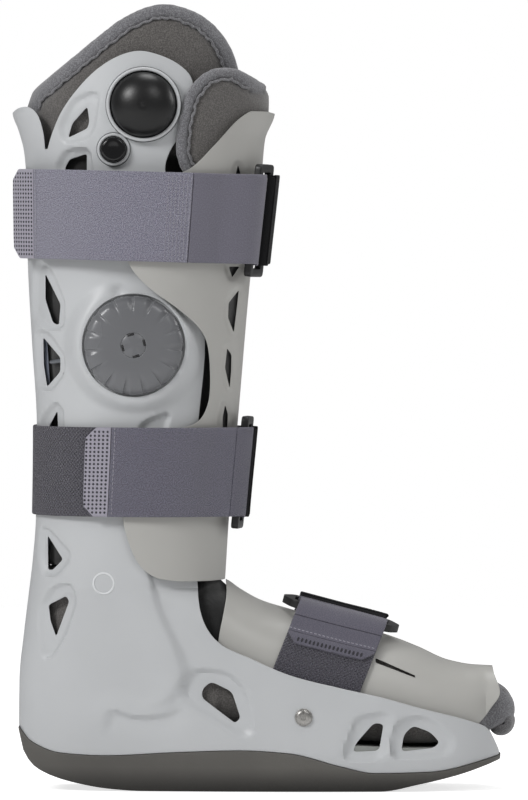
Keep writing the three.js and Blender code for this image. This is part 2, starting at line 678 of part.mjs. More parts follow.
function pumpBezel() {
  return ringOnY(bezelInner, bezelOuter, pumpCentre, bulbSeat - 2.9, cupFloor - layerGap - 0.2);
}
function pumpCup() {
  const floor = diskOnY(bezelOuter, pumpCentre, cupFloor, cupFloor + cupWall);
  return floor.subtract(diskOnY(3.4, pumpCentre, cupFloor - 1, cupFloor + 3, 20));
}

const buttonBack = releaseY + 0.5;
const seatY = buttonBack + buttonTravel + 0.8;
function releaseButton() {
  const height = 7;
  return turnedOnY(
    [[0, 0], [buttonRadius, 0], [buttonRadius, height - 1.6], [buttonRadius - 1.6, height - 0.3], [0, height]],
    releaseCentre,
    buttonBack,
    28,
  );
}
function releaseSpring() {
  const [turns, height] = [2, seatY - buttonBack - 1.5];
  const points = Array.from({ length: 25 }, (_, i) => {
    const angle = (i / 24) * turns * 2 * Math.PI;
    return new THREE.Vector3(
      releaseCentre[0] + 4.6 * Math.cos(angle),
      buttonBack + 0.75 + (height * i) / 24,
      releaseCentre[1] + 4.6 * Math.sin(angle),
    );
  });
  return tube(points, 0.35, 20, 5);
}

// A round bar along points; its ends are closed.
function tube(points, radius, steps, sides = 8) {
  const section = new THREE.Shape(
    Array.from({ length: sides }, (_, i) => {
      const angle = (i / sides) * 2 * Math.PI;
      return new THREE.Vector2(radius * Math.cos(angle), radius * Math.sin(angle));
    }),
  );
  const path = new THREE.CatmullRomCurve3(points, false, "centripetal");
  return solid(new THREE.ExtrudeGeometry(section, { steps, extrudePath: path, bevelEnabled: false }));
}

// A tube in the middle of the space between shell and liner, along a smooth line through [angle, height] places.
function airTube(places, steps) {
  const route = new THREE.CatmullRomCurve3(places.map(([degrees, z]) => new THREE.Vector3(degrees, z, 0)));
  const points = route.getSpacedPoints(steps).map(
    (p) => new THREE.Vector3(...rearSection(THREE.MathUtils.degToRad(p.x), p.y, -shellWall - cellSpace / 2)),
  );
  return tube(points, tubeRadius, steps);
}

// The place of a lateral point in the side view, and of a port round the valve's hub: 0 degrees is up, 90 to the front.
function place(x, z) {
  const [back, front] = [rearLine(z), sectionFront(z)];
  return [-THREE.MathUtils.radToDeg(Math.acos((2 * (x - back)) / (front - back) - 1)), z];
}
function port(degrees) {
  const reach = valveHubRadius + tubeRadius + 1.6;
  const angle = THREE.MathUtils.degToRad(degrees);
  return place(dialCentre[0] + reach * Math.sin(angle), dialCentre[1] + reach * Math.cos(angle));
}

// ---------------------------------------------------------------- leg straps
// A strap lies on a surface: a point for an angle (0 in front, or on the instep's crown, and negative towards the
// lateral side), a distance across the webbing, and an offset outwards.
const legSurface = (middle, tilt) => (angle, across, offset) => {
  const [x, y, z] = strapSection(angle, middle + across, offset);
  return [x, y, z - tilt * Math.cos(angle)];
};

// The frame on a surface: X towards the medial side, Z outwards.
function surfaceFrame(surface, angle) {
  const at = new THREE.Vector3(...surface(angle, 0, 0));
  const medial = new THREE.Vector3(...surface(angle + 0.02, 0, 0)).sub(at).normalize();
  const edge = new THREE.Vector3(...surface(angle, 5, 0)).sub(at).normalize();
  const normal = new THREE.Vector3().crossVectors(medial, edge).normalize();
  if (normal.dot(new THREE.Vector3(...surface(angle, 0, 5)).sub(at)) < 0) normal.negate();
  const upright = new THREE.Vector3().crossVectors(normal, medial).normalize();
  return { at, medial, normal, upright };
}

const inFrame = (geometry, frame, centre) =>
  geometry.applyMatrix4(
    new THREE.Matrix4().makeBasis(frame.medial, frame.upright, frame.normal).setPosition(centre),
  );

function nearestAngle(surface, point, from, to) {
  let best = [Infinity, from];
  for (let i = 0; i <= 200; i++) {
    const angle = THREE.MathUtils.lerp(from, to, i / 200);
    const distance = new THREE.Vector3(...surface(angle, 0, 0)).distanceTo(point);
    if (distance < best[0]) best = [distance, angle];
  }
  return best;
}

const ringSpan = ringSlot + 2 * ringBar; // bar centre to bar centre
const ringLength = strapWidth + 4;
const ringDepth = 2 * ringBar - 0.6;

// A ring of two bars and two short ends, drawn flat; the foot's has pointed ends.
function ringGeometry(pointed) {
  const [w, h] = [ringSpan / 2 + ringBar, ringLength / 2 + 2 * ringBar];
  const outline = pointed
    ? roundedShape([[w, -h + 4], [w, h - 4], [0, h + 3], [-w, h - 4], [-w, -h + 4], [0, -h - 3]], 4)
    : roundedShape([[w, -h], [w, h], [-w, h], [-w, -h]], 4);
  const [sw, sh] = [ringSpan / 2 - ringBar, ringLength / 2];
  outline.holes.push(roundedShape([[-sw, -sh], [-sw, sh], [sw, sh], [sw, -sh]], 1));
  const geometry = new THREE.ExtrudeGeometry(outline, { depth: ringDepth, bevelEnabled: false, curveSegments: 2 });
  return geometry.translate(0, 0, -ringDepth / 2);
}

// Webbing folded round a bar that lies along Y; 0 degrees is medial and 90 outwards.
const foldInner = Math.hypot(ringBar, ringDepth / 2) + 0.3;
const foldOuter = foldInner + webbing;
function foldGeometry(fromDegrees, toDegrees, pieces) {
  const [from, to] = [fromDegrees, toDegrees].map(THREE.MathUtils.degToRad);
  const shape = new THREE.Shape();
  shape.absarc(0, 0, foldOuter, from, to, false);
  shape.absarc(0, 0, foldInner, to, from, true);
  const geometry = new THREE.ExtrudeGeometry(shape, { depth: strapWidth, bevelEnabled: false, curveSegments: pieces });
  return geometry.translate(0, 0, -strapWidth / 2).rotateX(Math.PI / 2);
}

// A stretch of webbing on a surface, between two angles.
function webbingPatch(surface, fromAngle, toAngle, offset, steps) {
  const geometry = new THREE.BoxGeometry(1, 1, 1, steps, 1, 1);
  return solid(
    remapped(geometry, (v) => {
      const angle = THREE.MathUtils.lerp(fromAngle, toAngle, v.x + 0.5);
      return surface(angle, v.y * strapWidth, offset(angle) + (v.z > 0 ? webbing : 0));
    }),
  );
}

const strapOver = webbing + layerGap; // the folded-back layer lies on the under layer
const barHeight = foldOuter + 0.5; // a ring's bar above the surface
const seamGap = touchGap + 0.1;

// A strap and its ring. The under layer runs from the lateral bar away to underEnd; the free end comes through the
// ring, folds round the lateral bar and lies back over the under layer, and ends in a hook tab. A keeper holds the
// ring's medial bar. Angles in degrees.
function strap(surface, plan) {
  const degrees = THREE.MathUtils.degToRad;
  const frame = surfaceFrame(surface, degrees(plan.ringAngle));
  const centre = frame.at.clone().addScaledVector(frame.normal, barHeight + (plan.ringRise ?? 0));
  const bar = (side) => centre.clone().addScaledVector(frame.medial, (side * ringSpan) / 2);
  const [lateral, medial] = [bar(-1), bar(1)];
  const [lateralHeight, lateralAngle] = nearestAngle(surface, lateral, degrees(plan.ringAngle - 40), degrees(plan.ringAngle));
  const [medialHeight, medialAngle] = nearestAngle(surface, medial, degrees(plan.ringAngle), degrees(plan.ringAngle + 40));
  const perMillimetre = 1 / new THREE.Vector3(...surface(lateralAngle, 0, 2)).distanceTo(
    new THREE.Vector3(...surface(lateralAngle - 1e-3, 0, 2)),
  ) / 1e3;
  const gap = seamGap * perMillimetre;

  // The folded-back layer comes down from the ring to the under layer, and may stand off again at its end.
  const over = (angle) => {
    const lateralDegrees = -THREE.MathUtils.radToDeg(angle);
    const down = THREE.MathUtils.smoothstep(lateralDegrees, 1 - THREE.MathUtils.radToDeg(lateralAngle), plan.landed);
    const past = Math.max(0, lateralDegrees - plan.standOff);
    return THREE.MathUtils.lerp(lateralHeight + foldInner, strapOver, down) + plan.lift * past * past;
  };
  const keeperEnd = medialAngle + degrees(plan.keeper);
  const held = (angle) =>
    THREE.MathUtils.lerp(
      medialHeight + foldInner, strapOver, THREE.MathUtils.smoothstep(angle, medialAngle + degrees(4), keeperEnd - degrees(6)),
    );

  const square = (angle) => {
    const normal = surfaceFrame(surface, angle).normal;
    normal.addScaledVector(frame.upright, -normal.dot(frame.upright)).normalize();
    return { medial: new THREE.Vector3().crossVectors(frame.upright, normal), upright: frame.upright, normal };
  };
  const [onLateral, onMedial] = [square(lateralAngle), square(medialAngle)];
  const fold = solid(inFrame(foldGeometry(-88, 92, 6), onLateral, lateral));
  const [seam, tabStart, end] = [plan.seam, plan.tab, plan.end].map((angle) => -degrees(angle));
  const lead = webbingPatch(surface, lateralAngle + 1.2 * perMillimetre, seam + gap / 2, over, plan.leadSteps);
  const tail = webbingPatch(surface, seam - gap / 2, tabStart + gap / 2, over, plan.tailSteps);
  const tab = webbingPatch(surface, tabStart - gap / 2, end, over, 3);
  const keeperFold = solid(inFrame(foldGeometry(88, 272, 6), onMedial, medial));
  const keeper = webbingPatch(surface, medialAngle - 1.2 * perMillimetre, keeperEnd, held, 6);
  // The tab's two corners are cut off.
  const trimmed = [-1, 1].reduce((made, side) => {
    const corner = new THREE.Vector3(...surface(end, (side * strapWidth) / 2, over(end)));
    const cutter = new THREE.BoxGeometry(9, 9, 12).rotateZ(Math.PI / 4);
    return made.subtract(solid(inFrame(cutter, surfaceFrame(surface, end), corner)));
  }, tab);
  return {
    ring: solid(inFrame(ringGeometry(plan.pointed), frame, centre)),
    lead: lead.add(fold),
    tail,
    hook_tab: biggest(trimmed),
    keeper: keeper.add(keeperFold),
    lateralAngle,
    medialAngle,
    perMillimetre,
  };
}

function legStrap(name, { middle, tilt }, plan) {
  const surface = legSurface(middle, tilt);
  const pieces = strap(surface, plan);
  const clear = (foldOuter + 0.8) * pieces.perMillimetre;
  const band = webbingPatch(
    surface, pieces.lateralAngle - clear, pieces.medialAngle + clear - 2 * Math.PI, () => 0, 34,
  );
  return {
    [name + "_band"]: band,
    [name + "_ring"]: pieces.ring,
    [name + "_ring_keeper"]: pieces.keeper,
    [name + "_lead"]: pieces.lead,
    [name + "_tail"]: pieces.tail,
    [name + "_hook_tab"]: pieces.hook_tab,
  };
}

// ---------------------------------------------------------------- foot strap
const footStrapX = along(46);
function footStrapPoint(angle, s, offset) {
  let x = footStrapX + s * Math.cos(footStrapTilt);
  for (let i = 0; i < 6; i++) {
    const depth = archPoint(x, angle, offset)[2] - (crownLine(footStrapX) - s * Math.sin(footStrapTilt));
    x = footStrapX + s * Math.cos(footStrapTilt) + depth * Math.tan(footStrapTilt);
  }
  return archPoint(x, angle, offset);
}

const footSurface = (angle, across, offset) => footStrapPoint(angle, -across, offset + 2 * layerGap);

function footStrap(plan) {
  const pieces = strap(footSurface, plan);
  const clear = (foldOuter + 0.8) * pieces.perMillimetre;
  const side = THREE.MathUtils.degToRad(plan.side);
  return {
    foot_strap_lateral: webbingPatch(footSurface, pieces.lateralAngle - clear, -side, () => 0, 8),
    foot_strap_medial: webbingPatch(footSurface, pieces.medialAngle + clear, side, () => 0, 10),
    foot_strap_ring: pieces.ring,
    foot_strap_ring_keeper: pieces.keeper,
    foot_strap_lead: pieces.lead,
    foot_strap_tail: pieces.tail,
    foot_strap_hook_tab: pieces.hook_tab,
  };
}

// A flat tongue of webbing inside the tray wall, from the foot of the arch down to the screw.
const tongueY =
  Math.min(...[-9, 13].map((dx) => trayHalfWidth(screwCentre[0] + dx, screwCentre[1]))) - shellWall - layerGap - 0.2;
function anchorTongue(side) {
  const wallY = tongueY;
  const shape = roundedShape(
    [[screwCentre[0] - 8, screwCentre[1] - 8], [screwCentre[0] - 9, 52], [screwCentre[0] + 13, 49], [screwCentre[0] + 8, screwCentre[1] - 8]],
    3,
  );
  const [from, to] = side < 0 ? [-wallY, -wallY + webbing] : [wallY - webbing, wallY];
  return across(shape, from, to).subtract(diskOnY(screwRadius + touchGap, screwCentre, from - 1, to + 1, 16));
}

function screw(side) {
  const wall = trayHalfWidth(screwCentre[0], screwCentre[1]);
  const reach = wall - tongueY + webbing + layerGap + 1;
  const head = turnedOnY(
    [[0, 0], [screwHeadRadius, 0], [screwHeadRadius, 0.8], [screwHeadRadius - 1.2, 1.7], [0, 1.7]],
    screwCentre,
    -wall - 0.6,
    24,
  );
  const socket = diskOnY(1.7, screwCentre, -wall - 4, -wall - 1.2, 6);
  const shank = diskOnY(screwRadius, screwCentre, -wall - 1, -wall + reach, 16);
  const made = head.add(shank).subtract(socket);
  return side < 0 ? made : made.mirror([0, 1, 0]);
}

function washer(side) {
  const wall = trayHalfWidth(screwCentre[0], screwCentre[1]);
  const made = ringOnY(screwHeadRadius - 1.4, screwHeadRadius + 0.4, screwCentre, -wall - 0.55, -wall - 0.25, 24);
  return side < 0 ? made : made.mirror([0, 1, 0]);
}

function tNut(side) {
  const inner = -tongueY + webbing + layerGap;
  const made = ringOnY(screwRadius + 0.15, 5.4, screwCentre, inner, inner + 1.4, 24);
  return side < 0 ? made : made.mirror([0, 1, 0]);
}

// ---------------------------------------------------------------- the boot
const colours = {
  shell: { color: 0xbfc5c7, roughness: 0.45, metalness: 0 },
  sole: { color: 0x6c6b68, roughness: 0.8, metalness: 0 },
  fleece: { color: 0x77757a, roughness: 0.95, metalness: 0 },
  webbing: { color: 0x8d899a, roughness: 0.9, metalness: 0 },
  pile: { color: 0x55525f, roughness: 1, metalness: 0 },
  hookTab: { color: 0x9a97a4, roughness: 0.7, metalness: 0 },
  black: { color: 0x141416, roughness: 0.4, metalness: 0 },
  bulb: { color: 0x242426, roughness: 0.5, metalness: 0 },
  dial: { color: 0x6e6e72, roughness: 0.35, metalness: 0 },
  steel: { color: 0xa7a5a0, roughness: 0.3, metalness: 1 },
  foam: { color: 0x3c3c40, roughness: 0.95, metalness: 0 },
  bladder: { color: 0x8f969c, roughness: 0.4, metalness: 0 },
  tubing: { color: 0xd0d4d8, roughness: 0.3, metalness: 0 },
};
const materials = Object.fromEntries(
  Object.entries(colours).map(([name, look]) => [name, new THREE.MeshStandardMaterial(look)]),
);

const boot = new THREE.Group();
const add = (name, made, material) => {
  const mesh = new THREE.Mesh(geometryOf(made), materials[material]);
  mesh.name = name;
  boot.add(mesh);
};

add("rear_shell", rearShell(), "shell");
add("outsole", outsole(), "sole");
add("footbed", footbed(), "foam");
add("front_shell", frontShell(), "shell");
add("instep_shell", instepShell(), "shell");
add("liner_leg", legLiner(), "fleece");
add("liner_foot", footLiner(along(-200), toeSeam - touchGap / 2), "fleece");
add("liner_toe", footLiner(toeSeam + touchGap / 2, along(200)), "fleece");
add("front_pad", frontPad(), "fleece");

add("air_cell_lateral", airCell(rearSection, -64, -118, 138, 216, cellOffsets), "bladder");
add("air_cell_medial", airCell(rearSection, 62, 120, 138, 330, cellOffsets, [6, 7]), "bladder");
add("air_cell_rear", airCell(rearSection, 158, 202, 84, 345, cellOffsets, [4, 9]), "bladder");
add("air_cell_front", airCell(frontSection, -24, 24, 160, 350, frontCellOffsets, [6, 5]), "bladder");

add("pump_bulb", pumpBulb(), "bulb");
add("pump_bezel", pumpBezel(), "shell");
add("pump_cup", pumpCup(), "black");
add("check_valve", diskOnY(3, pumpCentre, cupFloor - 1.8, cupFloor + 1.1, 20), "black");
add("release_button", releaseButton(), "black");
add("release_collar", ringOnY(collarInner, collarOuter, releaseCentre, releaseY - 3.2, seatY - 0.7, 32), "shell");
add("release_seat", diskOnY(collarOuter, releaseCentre, seatY, seatY + 1.4, 28), "black");
add("release_spring", releaseSpring(), "steel");

add("selector_dial", selectorDial(), "dial");
add("dial_hub", dialHub(), "dial");
add("valve_body", valveBody(), "black");
add(
  "valve_rotor",
  ringOnY(6, valveBodyRadius - 3, dialCentre, dialFace - valveBodyHeight - 3.2, dialFace - valveBodyHeight - 1),
  "black",
);

const pumpPort = place(pumpCentre[0], pumpCentre[1] - bezelOuter - tubeRadius - 1.2);
const releasePort = place(releaseCentre[0], releaseCentre[1] - collarOuter - tubeRadius - 0.8);
add("tube_pump", airTube([pumpPort, port(0)], 6), "tubing");
add("tube_release", airTube([releasePort, port(-42)], 6), "tubing");
add("tube_lateral", airTube([port(180), place(dialCentre[0], up(216) + tubeRadius + 1.6)], 3), "tubing");
add("tube_rear", airTube([port(-112), [-128, dialCentre[1] - 8], [-154, dialCentre[1] - 10]], 6), "tubing");
const highRun = up(357);
add(
  "tube_medial",
  airTube(
    [port(-78), [-112, up(300)], [-122, up(340)], [-140, highRun - 2], [-180, highRun], [-220, highRun - 2], [-250, up(348)], [-262, up(330) + 4]],
    16,
  ),
  "tubing",
);

const strapPieces = {
  ...legStrap("upper_strap", upperStrap, {
    ringAngle: -22, landed: 52, seam: 66, tab: 147, end: 163, standOff: 120, lift: 0.0033, keeper: 26, leadSteps: 8, tailSteps: 10,
  }),
  ...legStrap("lower_strap", lowerStrap, {
    ringAngle: -10, landed: 46, seam: 30, tab: 103, end: 117.6, standOff: 200, lift: 0, keeper: 28, leadSteps: 3, tailSteps: 11,
  }),
  ...footStrap({
    ringAngle: -12, landed: 52, seam: 38, tab: 52, end: 62, standOff: 200, lift: 0, keeper: 34, leadSteps: 3, tailSteps: 4,
    side: 88, pointed: true,
  }),
};
const strapMaterial = (name) => {
  if (name.endsWith("_ring")) return "black";
  if (name.endsWith("_hook_tab")) return "hookTab";
  return /_band|_lateral/.test(name) ? "pile" : "webbing";
};
for (const [name, made] of Object.entries(strapPieces)) add(name, made, strapMaterial(name));

for (const [side, label] of [[-1, "lateral"], [1, "medial"]]) {
  add("foot_anchor_" + label, anchorTongue(side), "webbing");
  add("foot_screw_" + label, screw(side), "steel");
  add("foot_washer_" + label, washer(side), "steel");
  add("foot_nut_" + label, tNut(side), "steel");
}

export default boot;
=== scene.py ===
"""Looks of a pneumatic walking boot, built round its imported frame. Shapes are drawn in millimetres and set down in
metres: Z up, toe towards +X, pump and dial towards -Y."""

import math

import bmesh
import bpy
from mathutils import Matrix, Vector


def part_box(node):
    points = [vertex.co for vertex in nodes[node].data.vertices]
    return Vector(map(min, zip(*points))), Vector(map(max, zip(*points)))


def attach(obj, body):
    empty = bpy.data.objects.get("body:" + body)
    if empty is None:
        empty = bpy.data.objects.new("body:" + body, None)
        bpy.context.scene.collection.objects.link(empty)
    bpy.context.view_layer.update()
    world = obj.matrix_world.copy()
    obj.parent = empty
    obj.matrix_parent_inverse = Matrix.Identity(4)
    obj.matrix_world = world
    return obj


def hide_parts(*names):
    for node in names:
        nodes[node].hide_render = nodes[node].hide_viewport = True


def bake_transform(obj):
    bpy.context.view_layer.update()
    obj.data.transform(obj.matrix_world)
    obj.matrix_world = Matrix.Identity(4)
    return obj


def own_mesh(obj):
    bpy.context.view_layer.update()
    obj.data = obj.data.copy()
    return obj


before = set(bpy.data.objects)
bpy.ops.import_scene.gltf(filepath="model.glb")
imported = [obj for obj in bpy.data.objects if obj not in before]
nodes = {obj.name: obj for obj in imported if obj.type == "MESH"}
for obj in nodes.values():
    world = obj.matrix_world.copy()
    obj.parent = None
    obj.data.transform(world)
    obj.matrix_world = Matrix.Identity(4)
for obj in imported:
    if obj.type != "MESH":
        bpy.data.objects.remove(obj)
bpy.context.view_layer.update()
scene = bpy.context.scene
MILLIMETRE = 0.001


# ---------------------------------------------------------------- curves and outlines
def lerp(a, b, t):
    return a + (b - a) * t


def ease(t):
    t = min(max(t, 0.0), 1.0)
    return t * t * (3 - 2 * t)


def power(value, exponent):
    return math.copysign(abs(value) ** exponent, value)


def through(stations):
    """A smooth line through (place, value) stations, without overshoot."""
    places = [p for p, _ in stations]
    slopes = [(b[1] - a[1]) / (b[0] - a[0]) for a, b in zip(stations, stations[1:])]
    tangents = [slopes[0]]
    for a, b in zip(slopes, slopes[1:]):
        tangents.append(0 if a * b <= 0 else 2 * a * b / (a + b))
    tangents.append(slopes[-1])

    def at(place):
        if place <= places[0]:
            return stations[0][1]
        if place >= places[-1]:
            return stations[-1][1]
        i = 0
        while place > places[i + 1]:
            i += 1
        width = places[i + 1] - places[i]
        t = (place - places[i]) / width
        rise = stations[i + 1][1] - stations[i][1]
        bend = tangents[i] * (1 - t) - tangents[i + 1] * t
        return stations[i][1] + rise * t * t * (3 - 2 * t) + width * t * (1 - t) * bend

    return at


def smooth_line(points, steps, closed=False):
    """A centripetal spline through side-view points."""
    points = [Vector(p) for p in points]
    if closed:
        ring = [points[-1], *points, points[0], points[1]]
    else:
        ring = [2 * points[0] - points[1], *points, 2 * points[-1] - points[-2]]
    made = []
    for a, b, c, d in zip(ring, ring[1:], ring[2:], ring[3:]):
        spans = [max((q - p).length ** 0.5, 1e-6) for p, q in ((a, b), (b, c), (c, d))]
        out = (b - a) / spans[0] - (c - a) / (spans[0] + spans[1]) + (c - b) / spans[1]
        into = (c - b) / spans[1] - (d - b) / (spans[1] + spans[2]) + (d - c) / spans[2]
        out, into = out * spans[1], into * spans[1]
        for k in range(steps):
            t = k / steps
            made.append(
                b * (2 * t**3 - 3 * t**2 + 1)
                + out * (t**3 - 2 * t**2 + t)
                + c * (3 * t**2 - 2 * t**3)
                + into * (t**3 - t**2)
            )
    if not closed:
        made.append(points[-1])
    return [tuple(p) for p in made]


def rounded(points, radius, steps=5):
    """A side-view outline with straight sides and rounded corners."""
    points = [Vector(p) for p in points]
    made = []
    for i, corner in enumerate(points):
        before, after = points[i - 1], points[(i + 1) % len(points)]
        cut = min(radius, (before - corner).length / 2.2, (after - corner).length / 2.2)
        start = corner + (before - corner).normalized() * cut
        end = corner + (after - corner).normalized() * cut
        for k in range(steps + 1):
            t = k / steps
            made.append(tuple(start * (1 - t) ** 2 + corner * 2 * t * (1 - t) + end * t * t))
    return made


def span_to_line(point, a, b):
    """Distance from a point to a stretch of line, the share along it, and the side that it is on."""
    along = (b[0] - a[0], b[1] - a[1])
    off = (point[0] - a[0], point[1] - a[1])
    share = (off[0] * along[0] + off[1] * along[1]) / (along[0] ** 2 + along[1] ** 2)
    share = min(max(share, 0.0), 1.0)
    dx, dz = off[0] - along[0] * share, off[1] - along[1] * share
    return math.hypot(dx, dz), share, along[0] * off[1] - along[1] * off[0]


class Outline:
    """A closed side-view outline that says how far away a point is."""

    def __init__(self, points):
        self.points = points
        self.low = [min(p[i] for p in points) for i in (0, 1)]
        self.high = [max(p[i] for p in points) for i in (0, 1)]

    def holds(self, x, z):
        inside = False
        for (ax, az), (bx, bz) in zip(self.points, self.points[1:] + self.points[:1]):
            if (az > z) != (bz > z) and x < ax + (z - az) / (bz - az) * (bx - ax):
                inside = not inside
        return inside

    def distance(self, x, z, reach):
        """0 inside, and never more than reach."""
        near = self.low[0] - reach < x < self.high[0] + reach
        if not near or not self.low[1] - reach < z < self.high[1] + reach:
            return reach
        if self.holds(x, z):
            return 0.0
        return min(reach, self.to_edge(x, z))

    def to_edge(self, x, z):
        pairs = zip(self.points, self.points[1:] + self.points[:1])
        return min(span_to_line((x, z), a, b)[0] for a, b in pairs)


# ---------------------------------------------------------------- the boot's sections
rear_line = through([
    (0, -134), (40, -137.4), (64, -137.1), (87, -134.8), (110, -132), (132, -129.4), (155, -127.7), (206, -127.1),
    (258, -130), (300, -132.2), (355, -133.4), (366, -134.5), (377, -137.4), (388, -141), (398, -138), (450, -132),
])
shin_line = through([
    (100, -20), (116, -19.2), (122, -18.8), (158, -16.5), (206, -12), (280, -5.7), (297, -4), (354, 2.3), (372, 4),
    (388, 9.7), (450, 9.7),
])
toe_line = through([(0, 132), (20, 138.5), (52, 138), (66, 112), (84, 52), (104, 4), (116, -23.7)])
half_width = through([
    (0, 45), (10, 50), (24, 53), (45, 53), (84, 51.5), (140, 50), (206, 54.5), (300, 61), (355, 63.5), (390, 65.5),
    (449, 62.5),
])
squareness = through([(40, 0.55), (84, 0.62), (140, 0.82), (400, 0.85)])
toe_widening = through([(50, 0.16), (84, 0.12), (125, 0), (400, 0)])
wrap_gap = through([(200, 1), (257, 1.3), (280, 3), (302, 5.4), (345, 6.5), (400, 6.5)])
SHELL_WALL = 3
LINER_OUTSIDE, LINER_INSIDE = -8, -14
STRAP_CLEARANCE = 0.6
TOE_TOP = 116


def section_front(z):
    return toe_line(z) if z < TOE_TOP else shin_line(z) - 4.5


def rear_section(angle, z, offset):
    """A point of the rear shell's plan outline at height z, grown by offset; 0 is the front and pi the heel."""
    c = math.cos(angle)
    back, front = rear_line(z) - offset, section_front(z) + offset
    y = (half_width(z) + offset) * power(math.sin(angle), squareness(z)) * (1 + toe_widening(z) * c)
    return Vector((back + (front - back) * (1 + c) / 2, y, z))


def front_section(angle, z, offset):
    c = math.cos(angle)
    back, front = rear_line(z) - SHELL_WALL - offset, shin_line(z) + offset
    half = half_width(z) + wrap_gap(z) + SHELL_WALL + offset
    return Vector((back + (front - back) * (1 + c) / 2, half * power(math.sin(angle), squareness(z)), z))


def strap_section(angle, z, offset):
    c = math.cos(angle)
    back, front = rear_line(z) - STRAP_CLEARANCE - offset, shin_line(z) + STRAP_CLEARANCE + offset
    half = half_width(z) + wrap_gap(z) + SHELL_WALL + STRAP_CLEARANCE + offset
    return Vector((back + (front - back) * (1 + c) / 2, half * power(math.sin(angle), squareness(z)), z))


def tray_half(x, z):
    back, front = rear_line(z), section_front(z)
    c = min(max(2 * (x - back) / (front - back) - 1, -0.995), 0.995)
    return half_width(z) * math.sqrt(1 - c * c) ** squareness(z) * (1 + toe_widening(z) * c)


tray_bottom = through([
    (-137.4, 36.5), (-130, 27.9), (-113, 21.7), (-90, 20.5), (-44.5, 22.8), (-10, 23.9), (18, 22.2), (47, 14.8),
    (67, 10.8), (98, 11.4), (138, 20),
])
sole_bottom = through([
    (-137.4, 35), (-134, 21), (-126, 12), (-108, 5.2), (-84, 1), (-66, 0), (70, 0), (92, 4), (115, 9.5), (139, 17.5),
])
sock_floor = through([(-126, 31.5), (-90, 30), (-10, 31.5), (47, 27.5), (98, 25.5), (128, 31)])
RIM_LINE = [
    (139, 19), (137.5, 24), (135, 29), (131, 35.5), (121, 40), (92, 47.9), (70, 54.1), (47, 59.3), (18, 66.7),
    (-4.6, 76.4), (-20.5, 83.8), (-28.5, 92.3), (-33, 103.7), (-34.8, 120.8),
]
WING_LINE = [
    (-34.2, 209), (-30.2, 257.6), (-34, 290), (-46, 330), (-52.7, 354.5), (-50, 365), (-43, 376), (-38.8, 389),
    (-36.5, 400), (-38.5, 408), (-46, 415), (-57, 420), (-67, 422), (-77, 420), (-89, 413.5), (-100, 403.5),
    (-111, 389), (-117, 376), (-120, 366.5),
]
SPINE_LINE = [(-121.4, 366.5), (-122.4, 376), (-126, 386.5), (-131, 390.5), (-137, 390), (-141.5, 387)]
rim_height = through(list(reversed(RIM_LINE)))
crown_line = through([
    (-30, 124), (-18, 119.5), (-10, 114), (2, 107.5), (18, 102.6), (46, 95), (74, 87.8), (92, 81), (109, 73.5),
    (124, 70.7), (140, 70),
])
REAR_VENTS = [
    [(-121.4, 295.3), (-112.6, 278), (-113.6, 266), (-117, 267.3), (-121.4, 280.4)],
    [(-122.8, 259), (-112.7, 247.4), (-112.9, 239.4), (-120.6, 230.6), (-122.6, 243.4)],
    [(-114.6, 217), (-114, 201), (-119.7, 195), (-120.3, 206.3)],
    [(-120.3, 145.6), (-111.4, 132.2), (-117.4, 126), (-120, 126)],
    [(-119.7, 106), (-109.4, 111.4), (-107.8, 108.3), (-115.4, 88), (-118.6, 96.9)],
    [(-108, 372.8), (-105.5, 381), (-97, 390.4), (-95.8, 382), (-97, 378)],
    [(-109.7, 356), (-107, 360.6), (-97.3, 363.6), (-97.3, 349), (-109.4, 349)],
]
TRAY_VENTS = [
    [(-31.6, 58.6), (-26.8, 63), (-14.8, 57.2), (-10, 42.2), (-13, 39.2), (-32, 53.6)],
    [(66, 39.4), (71.6, 38.8), (69, 23.6), (54, 23), (56, 28)],
    [(83.2, 32.8), (88.4, 37.8), (98.6, 33.8), (103.6, 28), (100.3, 25), (81.6, 23)],
]
FRONT_VENTS = [
    [(-11.4, 357.4), (-9.2, 349.5), (-13.3, 349.5)],
    [(-16.6, 299.5), (-10.6, 299.5), (-14.8, 293.2)],
    [(-11, 286), (-16.8, 278.7), (-17.1, 270.2), (-13.9, 261.8), (-12.4, 273.6)],
    [(-17.6, 252.8), (-15.2, 249), (-15.4, 239.4), (-16.3, 230), (-18.9, 241.7)],
    [(-18.8, 220.4), (-17.3, 214.9), (-18, 200.6), (-20.2, 200.6), (-20.2, 213.2)],
]
# The sunk field round a vent, by its own outline.
REAR_RECESSES = [
    [(-125, 301.5), (-119.5, 297), (-112.3, 279.3), (-112.5, 265.6), (-119.5, 264.5), (-127.8, 272), (-126.9, 292.4)],
    [(-126, 261.9), (-120.4, 260.1), (-112.2, 248.1), (-112.5, 238.9), (-119.5, 229.7), (-125.4, 231.6)],
    [(-124.1, 211.5), (-115.8, 220.6), (-113.1, 216.9), (-112.6, 200), (-119, 192), (-124.5, 197)],
    [(-123.2, 149.5), (-119.5, 146.8), (-109, 135.8), (-109.4, 132.1), (-116.7, 124), (-121.4, 124), (-124.1, 134.9)],
    [(-123.2, 105.5), (-116.7, 115.5), (-107.6, 117.4), (-105.5, 109.1), (-109.5, 96.3), (-113.6, 87), (-119.5, 77.9),
     (-121.7, 77), (-124.1, 94.4)],
    [(-112.2, 377.9), (-104.9, 392.7), (-94.6, 397.3), (-91.9, 396.3), (-94, 380), (-97, 374), (-109.5, 371)],
    [(-114, 355.9), (-109.4, 364.2), (-97.5, 365.6), (-95.6, 355.9), (-95.6, 346), (-112, 346)],
    [(-66, 208), (-62, 211), (-50.5, 215.5), (-53, 209), (-55, 202), (-66, 202)],
]
